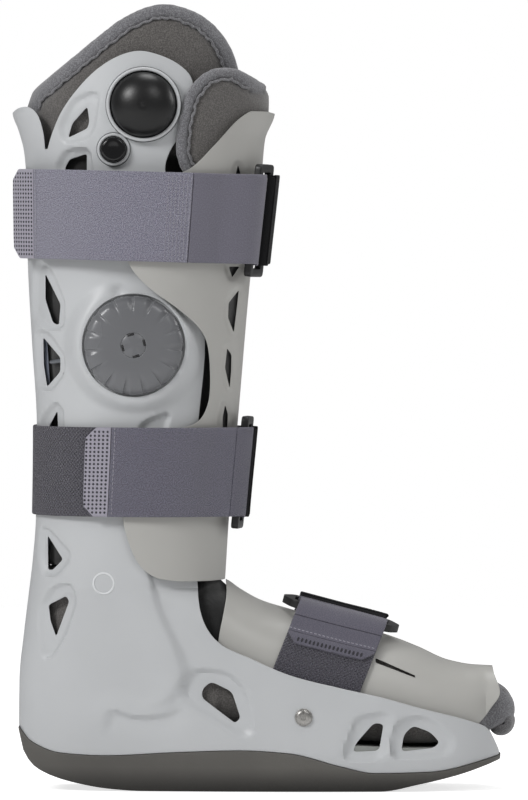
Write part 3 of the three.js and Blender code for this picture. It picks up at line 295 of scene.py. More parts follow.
TRAY_RECESSES = [
    [(-36.8, 67.8), (-18.5, 67), (-10.3, 59), (-5, 36.5), (-8.5, 33.6), (-29.6, 46.7), (-39.6, 52), (-41.5, 59.5)],
    [(50.5, 22), (58, 41.5), (73, 43.6), (75, 39.3), (70.5, 20.4), (53, 20.2)],
    [(78, 20.8), (78.7, 36), (85.9, 41), (98, 40.2), (110.5, 28.4), (108, 22.6)],
]
FRONT_SHELL = [
    (9.7, 387), (24, 384), (30, 300), (26, 200), (10, 120.4), (-18, 120.1), (-34, 119.9), (-47.3, 120.3),
    (-58.7, 122.6), (-67.3, 129.4), (-73, 140.8), (-77, 156.2), (-77.5, 176), (-75.5, 193), (-67.3, 202.6),
    (-50.2, 206.3), (-34.5, 211), (-28.8, 220.6), (-27.4, 240.5), (-29.6, 257.6), (-34, 265), (-44.5, 274.7),
    (-58.7, 285), (-69, 294.7), (-74, 303), (-75.8, 316), (-74.2, 331.7), (-66.5, 343.5), (-53, 350),
    (-38.8, 355), (-24.5, 368.8), (-11.3, 383.2), (-3.4, 388.2), (2.3, 388.4),
]
INSTEP = [
    (-17.2, 127.5), (-18, 112), (-20, 100), (-22, 90), (-23, 80), (-22, 72), (-14, 66), (6, 58), (50, 44), (90, 34),
    (118, 32), (128, 40), (133.5, 47), (138.5, 55), (135.5, 66), (132, 76), (80, 100), (20, 120),
]
LINER_TOP = [
    (-150, 389), (-134.5, 391), (-131, 398), (-118.6, 408.5), (-104.3, 420), (-90, 431.5), (-78.7, 440),
    (-64.4, 447), (-53, 449), (-41.6, 447), (-30.2, 441.5), (-21.7, 433.8), (-14.8, 423), (-11.4, 412.7),
    (-9.5, 404), (-6, 394), (20, 390),
]
PAD = [
    (-46.7, 366), (-45.6, 380), (-41, 397.3), (-33, 408), (-24.5, 412.7), (-15, 413.3), (-5, 409), (12, 398.6),
    (30, 392), (30, 250), (8, 138), (-24, 134), (-28, 142), (-28, 200), (-26, 250), (-25, 290), (-28, 320),
    (-38, 345), (-45, 357),
]
DIAL = (-70.7, 254.8)
DIAL_FACE = -57.54
POCKET_RADIUS = 29.3
VALVE_HOLE = 8.9
BOSS_RADIUS, BOSS_FACE = 30.6, -60.14
BOSS_NOTCH, NOTCH_DEPTH, NOTCH_SPREAD, NOTCH_REACH = (-79.3, 286.2), 2.6, 4.2, 9
BULB = (-65, 391.6)
BULB_SEAT = -66.16
BEZEL_INNER, BEZEL_OUTER = 19.1, 21.2
BUTTON = (-82, 366)
BUTTON_BACK = -62.49
COLLAR_INNER, COLLAR_OUTER = 7.5, 9.4
SCREW = (26, 42.8)
SCREW_WALL = 54.05
SCREW_HOLE = 2.7
PAST_SIDE = 120


# ---------------------------------------------------------------- mesh tools
def object_from(bm, name):
    mesh = bpy.data.meshes.new(name)
    bm.to_mesh(mesh)
    bm.free()
    made = bpy.data.objects.new(name, mesh)
    scene.collection.objects.link(made)
    return made


def discard(obj):
    mesh = obj.data
    bpy.data.objects.remove(obj)
    bpy.data.meshes.remove(mesh)


def with_modifiers(bm, steps):
    """The mesh after a list of (kind, settings) modifiers. A setting that is a bmesh becomes the tool's object."""
    base = object_from(bm, "blank")
    tools = []
    for kind, settings in steps:
        modifier = base.modifiers.new(kind, kind)
        for key, value in settings.items():
            if isinstance(value, bmesh.types.BMesh):
                value = object_from(value, "tool")
                tools.append(value)
            setattr(modifier, key, value)
    made = bmesh.new()
    made.from_object(base, bpy.context.evaluated_depsgraph_get())
    for obj in [base, *tools]:
        discard(obj)
    return made


def combine(operation, tool):
    return ("BOOLEAN", {"operation": operation, "solver": "MANIFOLD", "object": tool})


def joined(meshes):
    """Separate closed shapes in one mesh, to cut with together."""
    whole = bmesh.new()
    for bm in meshes:
        mesh = bpy.data.meshes.new("part")
        bm.to_mesh(mesh)
        bm.free()
        whole.from_mesh(mesh)
        bpy.data.meshes.remove(mesh)
    return whole


def piece(name, bm, material, body=None, stands_for=(), crease=32):
    """Sets a finished shape down in metres, with its finish, its body and the node it stands for."""
    bm.transform(Matrix.Scale(MILLIMETRE, 4))
    made = object_from(bm, name)
    mesh = made.data
    mesh.materials.clear()
    mesh.materials.append(material)
    mesh.polygons.foreach_set("material_index", [0] * len(mesh.polygons))
    mesh.polygons.foreach_set("use_smooth", [True] * len(mesh.polygons))
    mesh.set_sharp_from_angle(angle=math.radians(crease))
    if body:
        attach(made, body)
    if stands_for:
        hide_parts(*stands_for)
    return made


def upright_rod(segments, cuts):
    """A closed rod of radius 1 from -0.5 to 0.5 in height, cut across, to be bent into shape."""
    bm = bmesh.new()
    bmesh.ops.create_cone(bm, cap_ends=True, segments=segments, radius1=1, radius2=1, depth=1)
    upright = [e for e in bm.edges if abs(e.verts[0].co.z - e.verts[1].co.z) > 0.5]
    bmesh.ops.subdivide_edges(bm, edges=upright, cuts=cuts)
    return bm


def faced_out(bm):
    bmesh.ops.recalc_face_normals(bm, faces=bm.faces)
    return bm


def column(section, heights, offset, segments):
    """A closed column of sections. A section is placed at each height, all the way round."""
    bm = upright_rod(segments, len(heights) - 2)
    for v in bm.verts:
        row = round((v.co.z + 0.5) * (len(heights) - 1))
        v.co = section(math.atan2(v.co.y, v.co.x), heights[row], offset)
    return bm


def rows(low, high, step):
    count = max(1, round((high - low) / step))
    return [lerp(low, high, i / count) for i in range(count + 1)]


def carried(corners, along):
    """A closed solid: a flat face carried along a way."""
    bm = bmesh.new()
    face = bm.faces.new([bm.verts.new(corner) for corner in corners])
    made = bmesh.ops.extrude_face_region(bm, geom=[face])["geom"]
    bmesh.ops.translate(bm, verts=[v for v in made if isinstance(v, bmesh.types.BMVert)], vec=along)
    return faced_out(bm)


def prism(outline, from_y=-PAST_SIDE, to_y=PAST_SIDE):
    """A side-view outline carried across the boot."""
    return carried([(x, from_y, z) for x, z in outline], (0, to_y - from_y, 0))


def above(line, top, low=-150, high=150, steps=90):
    """Everything above a line of the side view, up to a height."""
    return prism([(x, line(x)) for x in rows(low, high, (high - low) / steps)] + [(high, top), (low, top)])


def slab(us, vs, place, layers=(0, 1)):
    """A closed sheet with thickness: place(u, v, layer) sets each point, and its own coordinates are kept."""
    bm = bmesh.new()
    bmesh.ops.create_cube(bm, size=1)
    for axis, cuts in ((0, len(us) - 2), (1, len(vs) - 2), (2, len(layers) - 2)):
        others = [i for i in range(3) if i != axis]
        edges = [
            e for e in bm.edges
            if all(abs(e.verts[0].co[i] - e.verts[1].co[i]) < 1e-5 for i in others)
        ]
        if cuts > 0:
            bmesh.ops.subdivide_edges(bm, edges=edges, cuts=cuts, use_grid_fill=True)
    cloth = bm.loops.layers.uv.new("cloth")
    spots = {}
    for v in bm.verts:
        i, j, k = (
            round((v.co[axis] + 0.5) * (len(steps) - 1)) for axis, steps in enumerate((us, vs, layers))
        )
        spots[v] = (i, j, k)
    measure = [0.0]
    middle = vs[len(vs) // 2]
    last = place(us[0], middle, layers[-1])
    for u in us[1:]:
        here = place(u, middle, layers[-1])
        measure.append(measure[-1] + (here - last).length)
        last = here
    for face in bm.faces:
        for loop in face.loops:
            i, j, _ = spots[loop.vert]
            loop[cloth].uv = (measure[i] * MILLIMETRE, vs[j] * MILLIMETRE)
    for v, (i, j, k) in spots.items():
        v.co = place(us[i], vs[j], layers[k])
    return bm


def turned(profile, centre, seat, steps=96, closed=False):
    """A turned piece: (radius, distance outwards from the seat) points spun about an axis along Y."""
    bm = bmesh.new()
    verts = [bm.verts.new((r, -d, 0)) for r, d in profile]
    edges = [bm.edges.new(pair) for pair in zip(verts, verts[1:])]
    if closed:
        edges.append(bm.edges.new((verts[-1], verts[0])))
    bmesh.ops.spin(
        bm, geom=verts + edges, cent=(0, 0, 0), axis=(0, 1, 0), angle=2 * math.pi, steps=steps, use_merge=True
    )
    bmesh.ops.remove_doubles(bm, verts=bm.verts, dist=1e-4)
    bmesh.ops.recalc_face_normals(bm, faces=bm.faces)
    bmesh.ops.translate(bm, verts=bm.verts, vec=(centre[0], seat, centre[1]))
    return bm


def arc(centre_r, centre_d, radius, start, end, steps, tall=1.0):
    """Profile points on an arc, in degrees from outwards in the radius."""
    angles = [math.radians(lerp(start, end, i / steps)) for i in range(steps + 1)]
    return [(centre_r + radius * math.cos(a), centre_d + radius * tall * math.sin(a)) for a in angles]


def disk(radius, centre, from_y, to_y, steps=96):
    return turned([(0, 0), (radius, 0), (radius, to_y - from_y), (0, to_y - from_y)], centre, to_y, steps)


def softened(bm, voxel, rounds, factor=0.5):
    """A solid remeshed evenly and smoothed, so that its edges become those of a padded piece."""
    made = with_modifiers(bm, [("REMESH", {"mode": "VOXEL", "voxel_size": voxel})])
    for _ in range(rounds):
        bmesh.ops.smooth_vert(
            made, verts=made.verts, factor=factor, use_axis_x=True, use_axis_y=True, use_axis_z=True
        )
    return made


# ---------------------------------------------------------------- finishes
def tone(red, green, blue):
    """A display colour as a linear one."""
    linear = [
        c / 255 / 12.92 if c / 255 <= 0.04045 else ((c / 255 + 0.055) / 1.055) ** 2.4 for c in (red, green, blue)
    ]
    return (*linear, 1.0)


class Recipe:
    """A node tree under construction; inputs are given as values or as other nodes' outputs."""

    def __init__(self, tree):
        self.tree = tree

    def add(self, kind, inputs=None, out=0, **settings):
        made = self.tree.nodes.new(kind)
        for key, value in settings.items():
            setattr(made, key, value)
        for key, value in (inputs or {}).items():
            socket = made.inputs[key]
            if isinstance(value, bpy.types.NodeSocket):
                self.tree.links.new(value, socket)
            else:
                socket.default_value = value
        return made.outputs[out] if made.outputs else made

    def math(self, operation, a, b=0.0, clamp=False):
        return self.add("ShaderNodeMath", {0: a, 1: b}, operation=operation, use_clamp=clamp)

    def ramp(self, value, low, high, to_low=0.0, to_high=1.0):
        return self.add("ShaderNodeMapRange", {0: value, 1: low, 2: high, 3: to_low, 4: to_high})

    def mix(self, share, a, b):
        made = self.tree.nodes.new("ShaderNodeMix")
        made.data_type = "RGBA"
        for socket, value in zip((made.inputs[0], made.inputs[6], made.inputs[7]), (share, a, b)):
            if isinstance(value, bpy.types.NodeSocket):
                self.tree.links.new(value, socket)
            else:
                socket.default_value = value
        return made.outputs[2]

    def noise(self, vector, scale, detail=2.0, rough=0.5):
        return self.add(
            "ShaderNodeTexNoise", {"Vector": vector, "Scale": scale, "Detail": detail, "Roughness": rough}
        )

    def use(self, group, inputs, out=0):
        made = self.tree.nodes.new("ShaderNodeGroup")
        made.node_tree = group
        for key, value in inputs.items():
            if isinstance(value, bpy.types.NodeSocket):
                self.tree.links.new(value, made.inputs[key])
            else:
                made.inputs[key].default_value = value
        return made.outputs[out] if isinstance(out, (int, str)) else [made.outputs[o] for o in out]


def effect(name, takes, gives, build):
    """A shared effect: a node group whose recipe gets its inputs by name and returns its outputs in order."""
    group = bpy.data.node_groups.new(name, "ShaderNodeTree")
    for key, kind, value in takes:
        socket = group.interface.new_socket(name=key, in_out="INPUT", socket_type=kind)
        if value is not None:
            socket.default_value = value
    for key, kind in gives:
        group.interface.new_socket(name=key, in_out="OUTPUT", socket_type=kind)
    recipe = Recipe(group)
    entry = group.nodes.new("NodeGroupInput")
    leave = group.nodes.new("NodeGroupOutput")
    results = build(recipe, {key: entry.outputs[key] for key, _, _ in takes})
    for (key, _), result in zip(gives, results):
        group.links.new(result, leave.inputs[key])
    return group


FLOAT, VECTOR = "NodeSocketFloat", "NodeSocketVector"


def moulded_build(r, given):
    broad = r.noise(given["Vector"], given["Cloud scale"], 3.0)
    fine = r.noise(given["Vector"], given["Grain scale"], 2.0)
    scuffs = r.noise(given["Vector"], 90.0, 5.0, 0.7)
    marks = r.ramp(scuffs, 0.62, 0.72)
    return [r.ramp(broad, 0.3, 0.7), fine, marks]


moulded_skin = effect(
    "moulded_skin",
    [("Vector", VECTOR, None), ("Cloud scale", FLOAT, 12.0), ("Grain scale", FLOAT, 900.0)],
    [("Cloud", FLOAT), ("Grain", FLOAT), ("Scuffs", FLOAT)],
    moulded_build,
)


def edge_build(r, given):
    soft = r.add("ShaderNodeBevel", {"Radius": given["Radius"]}, samples=4)
    sharp = r.add("ShaderNodeNewGeometry", out="Normal")
    match = r.add("ShaderNodeVectorMath", {0: soft, 1: sharp}, out="Value", operation="DOT_PRODUCT")
    return [soft, r.ramp(match, 0.995, 0.9)]


softened_edge = effect(
    "softened_edge", [("Radius", FLOAT, 0.0006)], [("Normal", VECTOR), ("Edge", FLOAT)], edge_build
)


def fleece_build(r, given):
    tufts = r.noise(given["Vector"], given["Tuft scale"], 4.0, 0.65)
    fibres = r.noise(given["Vector"], given["Fibre scale"], 3.0, 0.7)
    flecks = r.ramp(fibres, 0.42, 0.62)
    height = r.math("ADD", r.math("MULTIPLY", tufts, 0.6), r.math("MULTIPLY", fibres, 0.4))
    return [flecks, tufts, height]


brushed_fabric = effect(
    "brushed_fabric",
    [("Vector", VECTOR, None), ("Tuft scale", FLOAT, 260.0), ("Fibre scale", FLOAT, 1400.0)],
    [("Flecks", FLOAT), ("Tufts", FLOAT), ("Height", FLOAT)],
    fleece_build,
)


def weave_build(r, given):
    split = r.tree.nodes.new("ShaderNodeSeparateXYZ")
    r.tree.links.new(given["Cloth"], split.inputs[0])
    turn = 2 * math.pi
    warp = r.math("SINE", r.math("DIVIDE", r.math("MULTIPLY", split.outputs[1], turn), given["Warp pitch"]))
    weft = r.math("SINE", r.math("DIVIDE", r.math("MULTIPLY", split.outputs[0], turn), given["Weft pitch"]))
    threads = r.math("MULTIPLY", warp, weft)
    fuzz = r.noise(given["Cloth"], 2600.0, 2.0, 0.7)
    height = r.math("ADD", r.math("MULTIPLY", threads, 0.35), r.math("MULTIPLY", fuzz, given["Fuzz"]))
    flecks = r.ramp(r.noise(given["Cloth"], 1500.0, 3.0, 0.75), 0.40, 0.66)
    return [r.math("ADD", r.math("MULTIPLY", threads, 0.5), 0.5), flecks, height]


webbing_weave = effect(
    "webbing_weave",
    [("Cloth", VECTOR, None), ("Warp pitch", FLOAT, 0.0011), ("Weft pitch", FLOAT, 0.0008), ("Fuzz", FLOAT, 0.5)],
    [("Threads", FLOAT), ("Flecks", FLOAT), ("Height", FLOAT)],
    weave_build,
)


def finish(name, roughness=0.5, metallic=0.0):
    """A material with its Principled shader, ready for a recipe."""
    made = bpy.data.materials.new(name)
    made.use_nodes = True
    recipe = Recipe(made.node_tree)
    shader = made.node_tree.nodes["Principled BSDF"]
    shader.inputs["Roughness"].default_value = roughness
    shader.inputs["Metallic"].default_value = metallic
    return made, recipe, shader


def link(recipe, source, shader, socket):
    recipe.tree.links.new(source, shader.inputs[socket])


def moulded(
    name, colour, dark, edge_highlight, roughness, bump=0.05, edge=0.0007, specular=0.5, coat=0.0, cloud=14.0, darker_below=None
):
    """Moulded plastic or rubber: clouded colour, fine grain, scuffs, and edges rounded and painted lighter as a
    highlight.
    The last argument, if given, is (height, height, colour): the colour is laid in fully below the first height and is
    gone at the second, so the piece turns to it towards the bottom."""
    made, r, shader = finish(name, roughness)
    shader.inputs["Specular IOR Level"].default_value = specular
    shader.inputs["Coat Weight"].default_value = coat
    place = r.add("ShaderNodeTexCoord", out="Object")
    clouds, grain, scuffs = r.use(moulded_skin, {"Vector": place, "Cloud scale": cloud}, (0, 1, 2))
    normal, rim = r.use(softened_edge, {"Radius": edge}, (0, 1))
    body = r.mix(clouds, dark, colour)
    # Darker towards the bottom: the given colour is mixed in below the given heights.
    if darker_below:
        split = r.tree.nodes.new("ShaderNodeSeparateXYZ")
        r.tree.links.new(place, split.inputs[0])
        body = r.mix(r.ramp(split.outputs[2], darker_below[0], darker_below[1], 1.0, 0.0), body, darker_below[2])
    # Painted highlight: the colour is made lighter along the rounded edges, where they would catch the light.
    edge_highlighted = r.mix(r.math("MULTIPLY", rim, 0.55), body, edge_highlight)
    link(r, edge_highlighted, shader, "Base Color")
    rough = r.math("ADD", r.ramp(clouds, 0, 1, roughness - 0.04, roughness + 0.05), r.math("MULTIPLY", scuffs, 0.08))
    link(r, rough, shader, "Roughness")
    bumped = r.add("ShaderNodeBump", {"Strength": bump, "Distance": 0.0004, "Height": grain, "Normal": normal})
    link(r, bumped, shader, "Normal")
    return made


# Each finish's third colour is the painted highlight laid along its edges.
shell_plastic = moulded("shell_plastic", tone(197, 199, 201), tone(191, 193, 195), tone(222, 224, 225), 0.4)
panel_plastic = moulded("panel_plastic", tone(183, 182, 178), tone(177, 176, 172), tone(210, 209, 205), 0.4)
sole_rubber = moulded(
    "sole_rubber", tone(104, 102, 98), tone(92, 90, 87), tone(124, 122, 118), 0.65, bump=0.3, specular=0.3,
    darker_below=(0.001, 0.014, tone(58, 57, 55)),
)
mark_plastic = moulded("mark_plastic", tone(226, 228, 230), tone(222, 224, 226), tone(234, 236, 237), 0.4)
black_plastic = moulded("black_plastic", tone(26, 26, 28), tone(20, 20, 22), tone(58, 58, 60), 0.38)
bulb_rubber = moulded("bulb_rubber", tone(13, 13, 14), tone(9, 9, 10), tone(30, 30, 32), 0.34, bump=0.12)
button_gloss = moulded(
    "button_gloss", tone(5, 5, 7), tone(4, 4, 6), tone(24, 24, 28), 0.13, bump=0.02, coat=0.2,
)
dial_plastic = moulded(
    "dial_plastic", tone(114, 115, 118), tone(106, 107, 110), tone(168, 169, 171), 0.24, bump=0.03, edge=0.0005,
)
footbed_foam = moulded("footbed_foam", tone(146, 148, 145), tone(128, 130, 128), tone(164, 166, 162), 0.9, bump=0.6)
cell_film = moulded("cell_film", tone(120, 126, 138), tone(96, 102, 114), tone(150, 156, 166), 0.3, coat=0.3)
clear_tube = moulded("clear_tube", tone(96, 100, 106), tone(84, 88, 94), tone(120, 124, 128), 0.25, coat=0.3)


def brushed_steel():
    made, r, shader = finish("brushed_steel", 0.3, metallic=1.0)
    place = r.add("ShaderNodeTexCoord", out="Object")
    streaks = r.noise(r.add("ShaderNodeMapping", {"Vector": place, "Scale": (3000, 400, 400)}), 1.0, 3.0)
    normal, rim = r.use(softened_edge, {"Radius": 0.0003}, (0, 1))
    colour = r.mix(streaks, tone(150, 148, 145), tone(196, 194, 190))
    # Painted highlight: the steel's colour is made lighter along its edges.
    link(r, r.mix(r.math("MULTIPLY", rim, 0.5), colour, tone(225, 224, 222)), shader, "Base Color")
    link(r, r.ramp(streaks, 0.3, 0.7, 0.24, 0.38), shader, "Roughness")
    link(r, normal, shader, "Normal")
    return made


def liner_fleece():
    """Brushed heather fabric, greyer and tighter on the binding that runs round the edge."""
    made, r, shader = finish("liner_fleece", 0.95)
    shader.inputs["Sheen Weight"].default_value = 0.35
    shader.inputs["Sheen Roughness"].default_value = 0.6
    shader.inputs["Specular IOR Level"].default_value = 0.15
    place = r.add("ShaderNodeTexCoord", out="Object")
    flecks, tufts, height = r.use(brushed_fabric, {"Vector": place}, (0, 1, 2))
    binding = r.add("ShaderNodeAttribute", out="Fac", attribute_name="binding")
    seam = r.add("ShaderNodeAttribute", out="Fac", attribute_name="seam")
    field = r.mix(flecks, tone(80, 77, 75), tone(116, 113, 110))
    border = r.mix(flecks, tone(98, 98, 102), tone(146, 146, 150))
    cloth = r.mix(binding, field, border)
    cloth = r.mix(r.math("MULTIPLY", tufts, 0.35), cloth, tone(78, 76, 76))
    # Painted shade: the seam line is darkened, for the shade in its pressed-in stitched groove.
    cloth = r.mix(r.math("MULTIPLY", seam, 0.8), cloth, tone(40, 39, 41))
    # Painted shade: the attribute read here turns the fleece near black where the liner sits in shade inside the shells
    # and in the ankle gap.
    painted_shade = r.add("ShaderNodeAttribute", out="Fac", attribute_name="painted_shade")
    link(r, r.mix(painted_shade, cloth, tone(7, 7, 8)), shader, "Base Color")
    bumped = r.add("ShaderNodeBump", {"Strength": 0.55, "Distance": 0.0006, "Height": height})
    link(r, bumped, shader, "Normal")
    return made


def strap_cloth(name, light, dark, warp, weft, fuzz, strength, sheen=0.3, depth=0.0005):
    """Strap cloth in its own UV: woven threads and heather flecks."""
    made, r, shader = finish(name, 0.85)
    shader.inputs["Sheen Weight"].default_value = sheen
    shader.inputs["Sheen Roughness"].default_value = 0.5
    shader.inputs["Specular IOR Level"].default_value = 0.2
    cloth = r.add("ShaderNodeUVMap", uv_map="cloth")
    inputs = {"Cloth": cloth, "Warp pitch": warp, "Weft pitch": weft, "Fuzz": fuzz}
    threads, flecks, height = r.use(webbing_weave, inputs, (0, 1, 2))
    body = r.mix(flecks, dark, light)
    body = r.mix(r.math("MULTIPLY", r.math("SUBTRACT", 1.0, threads), 0.28), body, dark)
    link(r, body, shader, "Base Color")
    bumped = r.add("ShaderNodeBump", {"Strength": strength, "Distance": depth, "Height": height})
    link(r, bumped, shader, "Normal")
    return made


steel = brushed_steel()
fleece = liner_fleece()
webbing_smooth = strap_cloth("webbing_smooth", tone(133, 131, 143), tone(108, 106, 118), 0.0009, 0.0007, 0.35, 0.5)
webbing_pile = strap_cloth(
    "webbing_pile", tone(166, 164, 180), tone(92, 90, 106), 0.0013, 0.001, 1.1, 1.0, depth=0.0009,
)
# A lighter copy of webbing_pile for the upper strap: painted light, standing in for the sheen its pile catches from the
# key light.
upper_pile_painted_light = strap_cloth(
    "upper_pile_painted_light", tone(212, 210, 228), tone(118, 116, 134), 0.0013, 0.001, 1.1, 1.0, depth=0.0009,
)
dark_pile = strap_cloth(
    "dark_pile", tone(138, 135, 150), tone(28, 26, 36), 0.0024, 0.0022, 1.0, 1.0, depth=0.0016,
)
foot_web = strap_cloth("foot_web", tone(114, 112, 124), tone(88, 86, 98), 0.0009, 0.0007, 0.35, 0.5)
keeper_web = strap_cloth("keeper_web", tone(34, 34, 36), tone(16, 16, 18), 0.0009, 0.0007, 0.2, 0.3, sheen=0.05)
hook_cloth = strap_cloth("hook_cloth", tone(176, 173, 184), tone(150, 147, 159), 0.0011, 0.0011, 0.3, 0.4)
stitch_thread = strap_cloth("stitch_thread", tone(190, 188, 198), tone(150, 148, 158), 0.0004, 0.0004, 0.3, 0.5)


# ---------------------------------------------------------------- camera, light and floor
VIEW_HEIGHT, VIEW_CENTRE = 456.0, (3.42, 223.44)
LATERAL_PLANE = -0.045
lens, sensor = 420.0, 36.0
distance = VIEW_HEIGHT * MILLIMETRE / 2 / (sensor / 2 / lens)
camera_data = bpy.data.cameras.new("camera")
camera_data.lens, camera_data.sensor_width = lens, sensor
camera_data.clip_start, camera_data.clip_end = 0.05, 60
camera = bpy.data.objects.new("camera", camera_data)
camera_lift = math.radians(1.0)
aim = Vector((VIEW_CENTRE[0] * MILLIMETRE, LATERAL_PLANE, VIEW_CENTRE[1] * MILLIMETRE))
back = Vector((0, -math.cos(camera_lift), math.sin(camera_lift)))
camera.location = aim + back * distance
camera.rotation_mode = "QUATERNION"
camera.rotation_quaternion = (-back).to_track_quat("-Z", "Y")
scene.collection.objects.link(camera)
scene.camera = camera
scene.view_settings.view_transform = "Standard"

world = bpy.data.worlds.new("studio")
world.use_nodes = True
scene.world = world
sky = Recipe(world.node_tree)
background = world.node_tree.nodes["Background"]
seen = sky.add("ShaderNodeLightPath", out="Is Camera Ray")
world.node_tree.links.new(sky.ramp(seen, 0, 1, 0.245, 1.0), background.inputs["Strength"])
background.inputs["Color"].default_value = (1, 1, 1, 1)


def softbox(name, place, size, power_watts):
    light = bpy.data.lights.new(name, "AREA")
    light.shape, light.size, light.energy = "DISK", size, power_watts
    made = bpy.data.objects.new(name, light)
    made.location = place
    made.rotation_mode = "QUATERNION"
    toward = Vector((0, 0, 0.22)) - Vector(place)
    made.rotation_quaternion = toward.to_track_quat("-Z", "Y")
    scene.collection.objects.link(made)


softbox("key", (-1.5, -1.6, 1.5), 0.8, 30)
softbox("fill", (1.0, -1.9, 1.7), 1.0, 8)
softbox("top", (0.2, 0.2, 2.2), 1.0, 12)
softbox("edge", (2.0, 0.5, 1.0), 0.8, 8)

floor_bm = bmesh.new()
bmesh.ops.create_circle(floor_bm, cap_ends=True, segments=96, radius=2.6)
bmesh.ops.translate(floor_bm, verts=floor_bm.verts, vec=(0, 0, -0.0003))
floor = object_from(floor_bm, "floor")
floor_finish, floor_recipe, floor_shader = finish("pale_floor", 0.8)
floor_shader.inputs["Base Color"].default_value = (0.9, 0.9, 0.9, 1)
floor_shader.inputs["Specular IOR Level"].default_value = 0.1
floor_shader.inputs["Emission Color"].default_value = (1, 1, 1, 1)
floor_glow = floor_recipe.add("ShaderNodeLightPath", out="Is Camera Ray")
link(floor_recipe, floor_recipe.ramp(floor_glow, 0, 1, 0.0, 0.72), floor_shader, "Emission Strength")
floor.data.materials.append(floor_finish)

# ---------------------------------------------------------------- rigid shells
SEGMENTS, ROW = 320, 1.5
FIELD_DEPTH = 2.6
rear_recess_outlines = [Outline(rounded(v, 3, 3)) for v in REAR_RECESSES]
tray_recess_outlines = [Outline(rounded(v, 4, 3)) for v in TRAY_RECESSES]
rear_vent_outlines = [Outline(rounded(v, 1.6)) for v in REAR_VENTS]
tray_vent_outlines = [Outline(rounded(v, 3)) for v in TRAY_VENTS]
front_vent_outlines = [Outline(rounded(v, 1)) for v in FRONT_VENTS]
# A soft step in the surface: the line's left side is raised, and both sides level out away from the line.
ANKLE_STEPS = [
    (smooth_line([(-66, 136), (-61.6, 123.7), (-55.9, 103.7), (-44.5, 78.1), (-42, 66), (-50.2, 52.4), (-66, 47.5)], 4),
     -3.0, 2.6, 26.0),
    (smooth_line([(-42, 50.5), (-50, 45), (-60, 42.4), (-72, 42.6), (-83.2, 45.5), (-86, 40), (-88.5, 30)], 4),
     -3.0, 2.2, 15.0),
]
boss_reach = through([
    (-180, 41), (-90, 40), (-25, 42), (0, 39), (15, 36), (38, 32.2), (68, 32), (90, 37.5), (112, 41), (180, 41),
])


def dish(outlines, x, z, depth, reach):
    """How deep the wall turns in round the vents."""
    nearest = min((o.distance(x, z, reach) for o in outlines), default=reach)
    return depth * (1 - ease(nearest / reach)) if nearest < reach else 0.0


def sunk(outlines, x, z, depth, soft):
    """Depth of the sunk fields here: full inside, and running out over a short slope outside the outline."""
    nearest = min((o.distance(x, z, soft) for o in outlines), default=soft)
    return depth * (1 - ease(nearest / soft)) if nearest < soft else 0.0


def ankle_relief(x, z):
    total = 0.0
    for line, rise, soft, reach in ANKLE_STEPS:
        if not (min(p[0] for p in line) - reach < x < max(p[0] for p in line) + reach):
            continue
        best = (reach, 0.0, 0.0)
        count = len(line) - 1
        for i, (a, b) in enumerate(zip(line, line[1:])):
            away, share, side = span_to_line((x, z), a, b)
            if away < best[0]:
                best = (away, (i + share) / count, side)
        away, share, side = best
        if away >= reach:
            continue
        signed = away if side > 0 else -away
        step = ease(signed / soft / 2 + 0.5) - 0.5
        fade = ease(share / 0.2) * ease((1 - share) / 0.2) * (1 - ease(away / reach))
        total += rise * step * fade
    return total


def rear_outside(angle, z, offset):
    spot = rear_section(angle, z, offset)
    x = spot.x
    depth = sunk(rear_recess_outlines, x, z, FIELD_DEPTH, 2.6) + sunk(tray_recess_outlines, x, z, FIELD_DEPTH, 3.4)
    depth += dish(rear_vent_outlines, x, z, 0.8, 3) + dish(tray_vent_outlines, x, z, 1.0, 4)
    if 26 < z < 150 and x < -20:
        depth -= ankle_relief(x, z)
    if depth:
        spot = rear_section(angle, z, offset - depth)
    if spot.y < 0 and offset == 0:
        dx, dz = x - DIAL[0], z - DIAL[1]
        away = math.hypot(dx, dz)
        reach = boss_reach(math.degrees(math.atan2(dz, dx)))
        share = 1 - ease((away - BOSS_RADIUS) / (reach - BOSS_RADIUS))
        if share > 0:
            notch = math.hypot(x - BOSS_NOTCH[0], z - BOSS_NOTCH[1])
            face = BOSS_FACE + NOTCH_DEPTH * math.exp(-((notch / NOTCH_SPREAD) ** 2))
            blended = lerp(spot.y, face, share)
            spot.y = min(spot.y, blended) if notch > NOTCH_REACH else blended
    return spot


def rear_inside(angle, z, offset):
    x = rear_section(angle, z, offset).x
    depth = sunk(rear_recess_outlines, x, z, 2.3, 2.4) + sunk(tray_recess_outlines, x, z, 2.5, 2.4)
    return rear_section(angle, z, offset - depth)


def vent_tools(outlines):
    return joined([prism(o.points) for o in outlines])


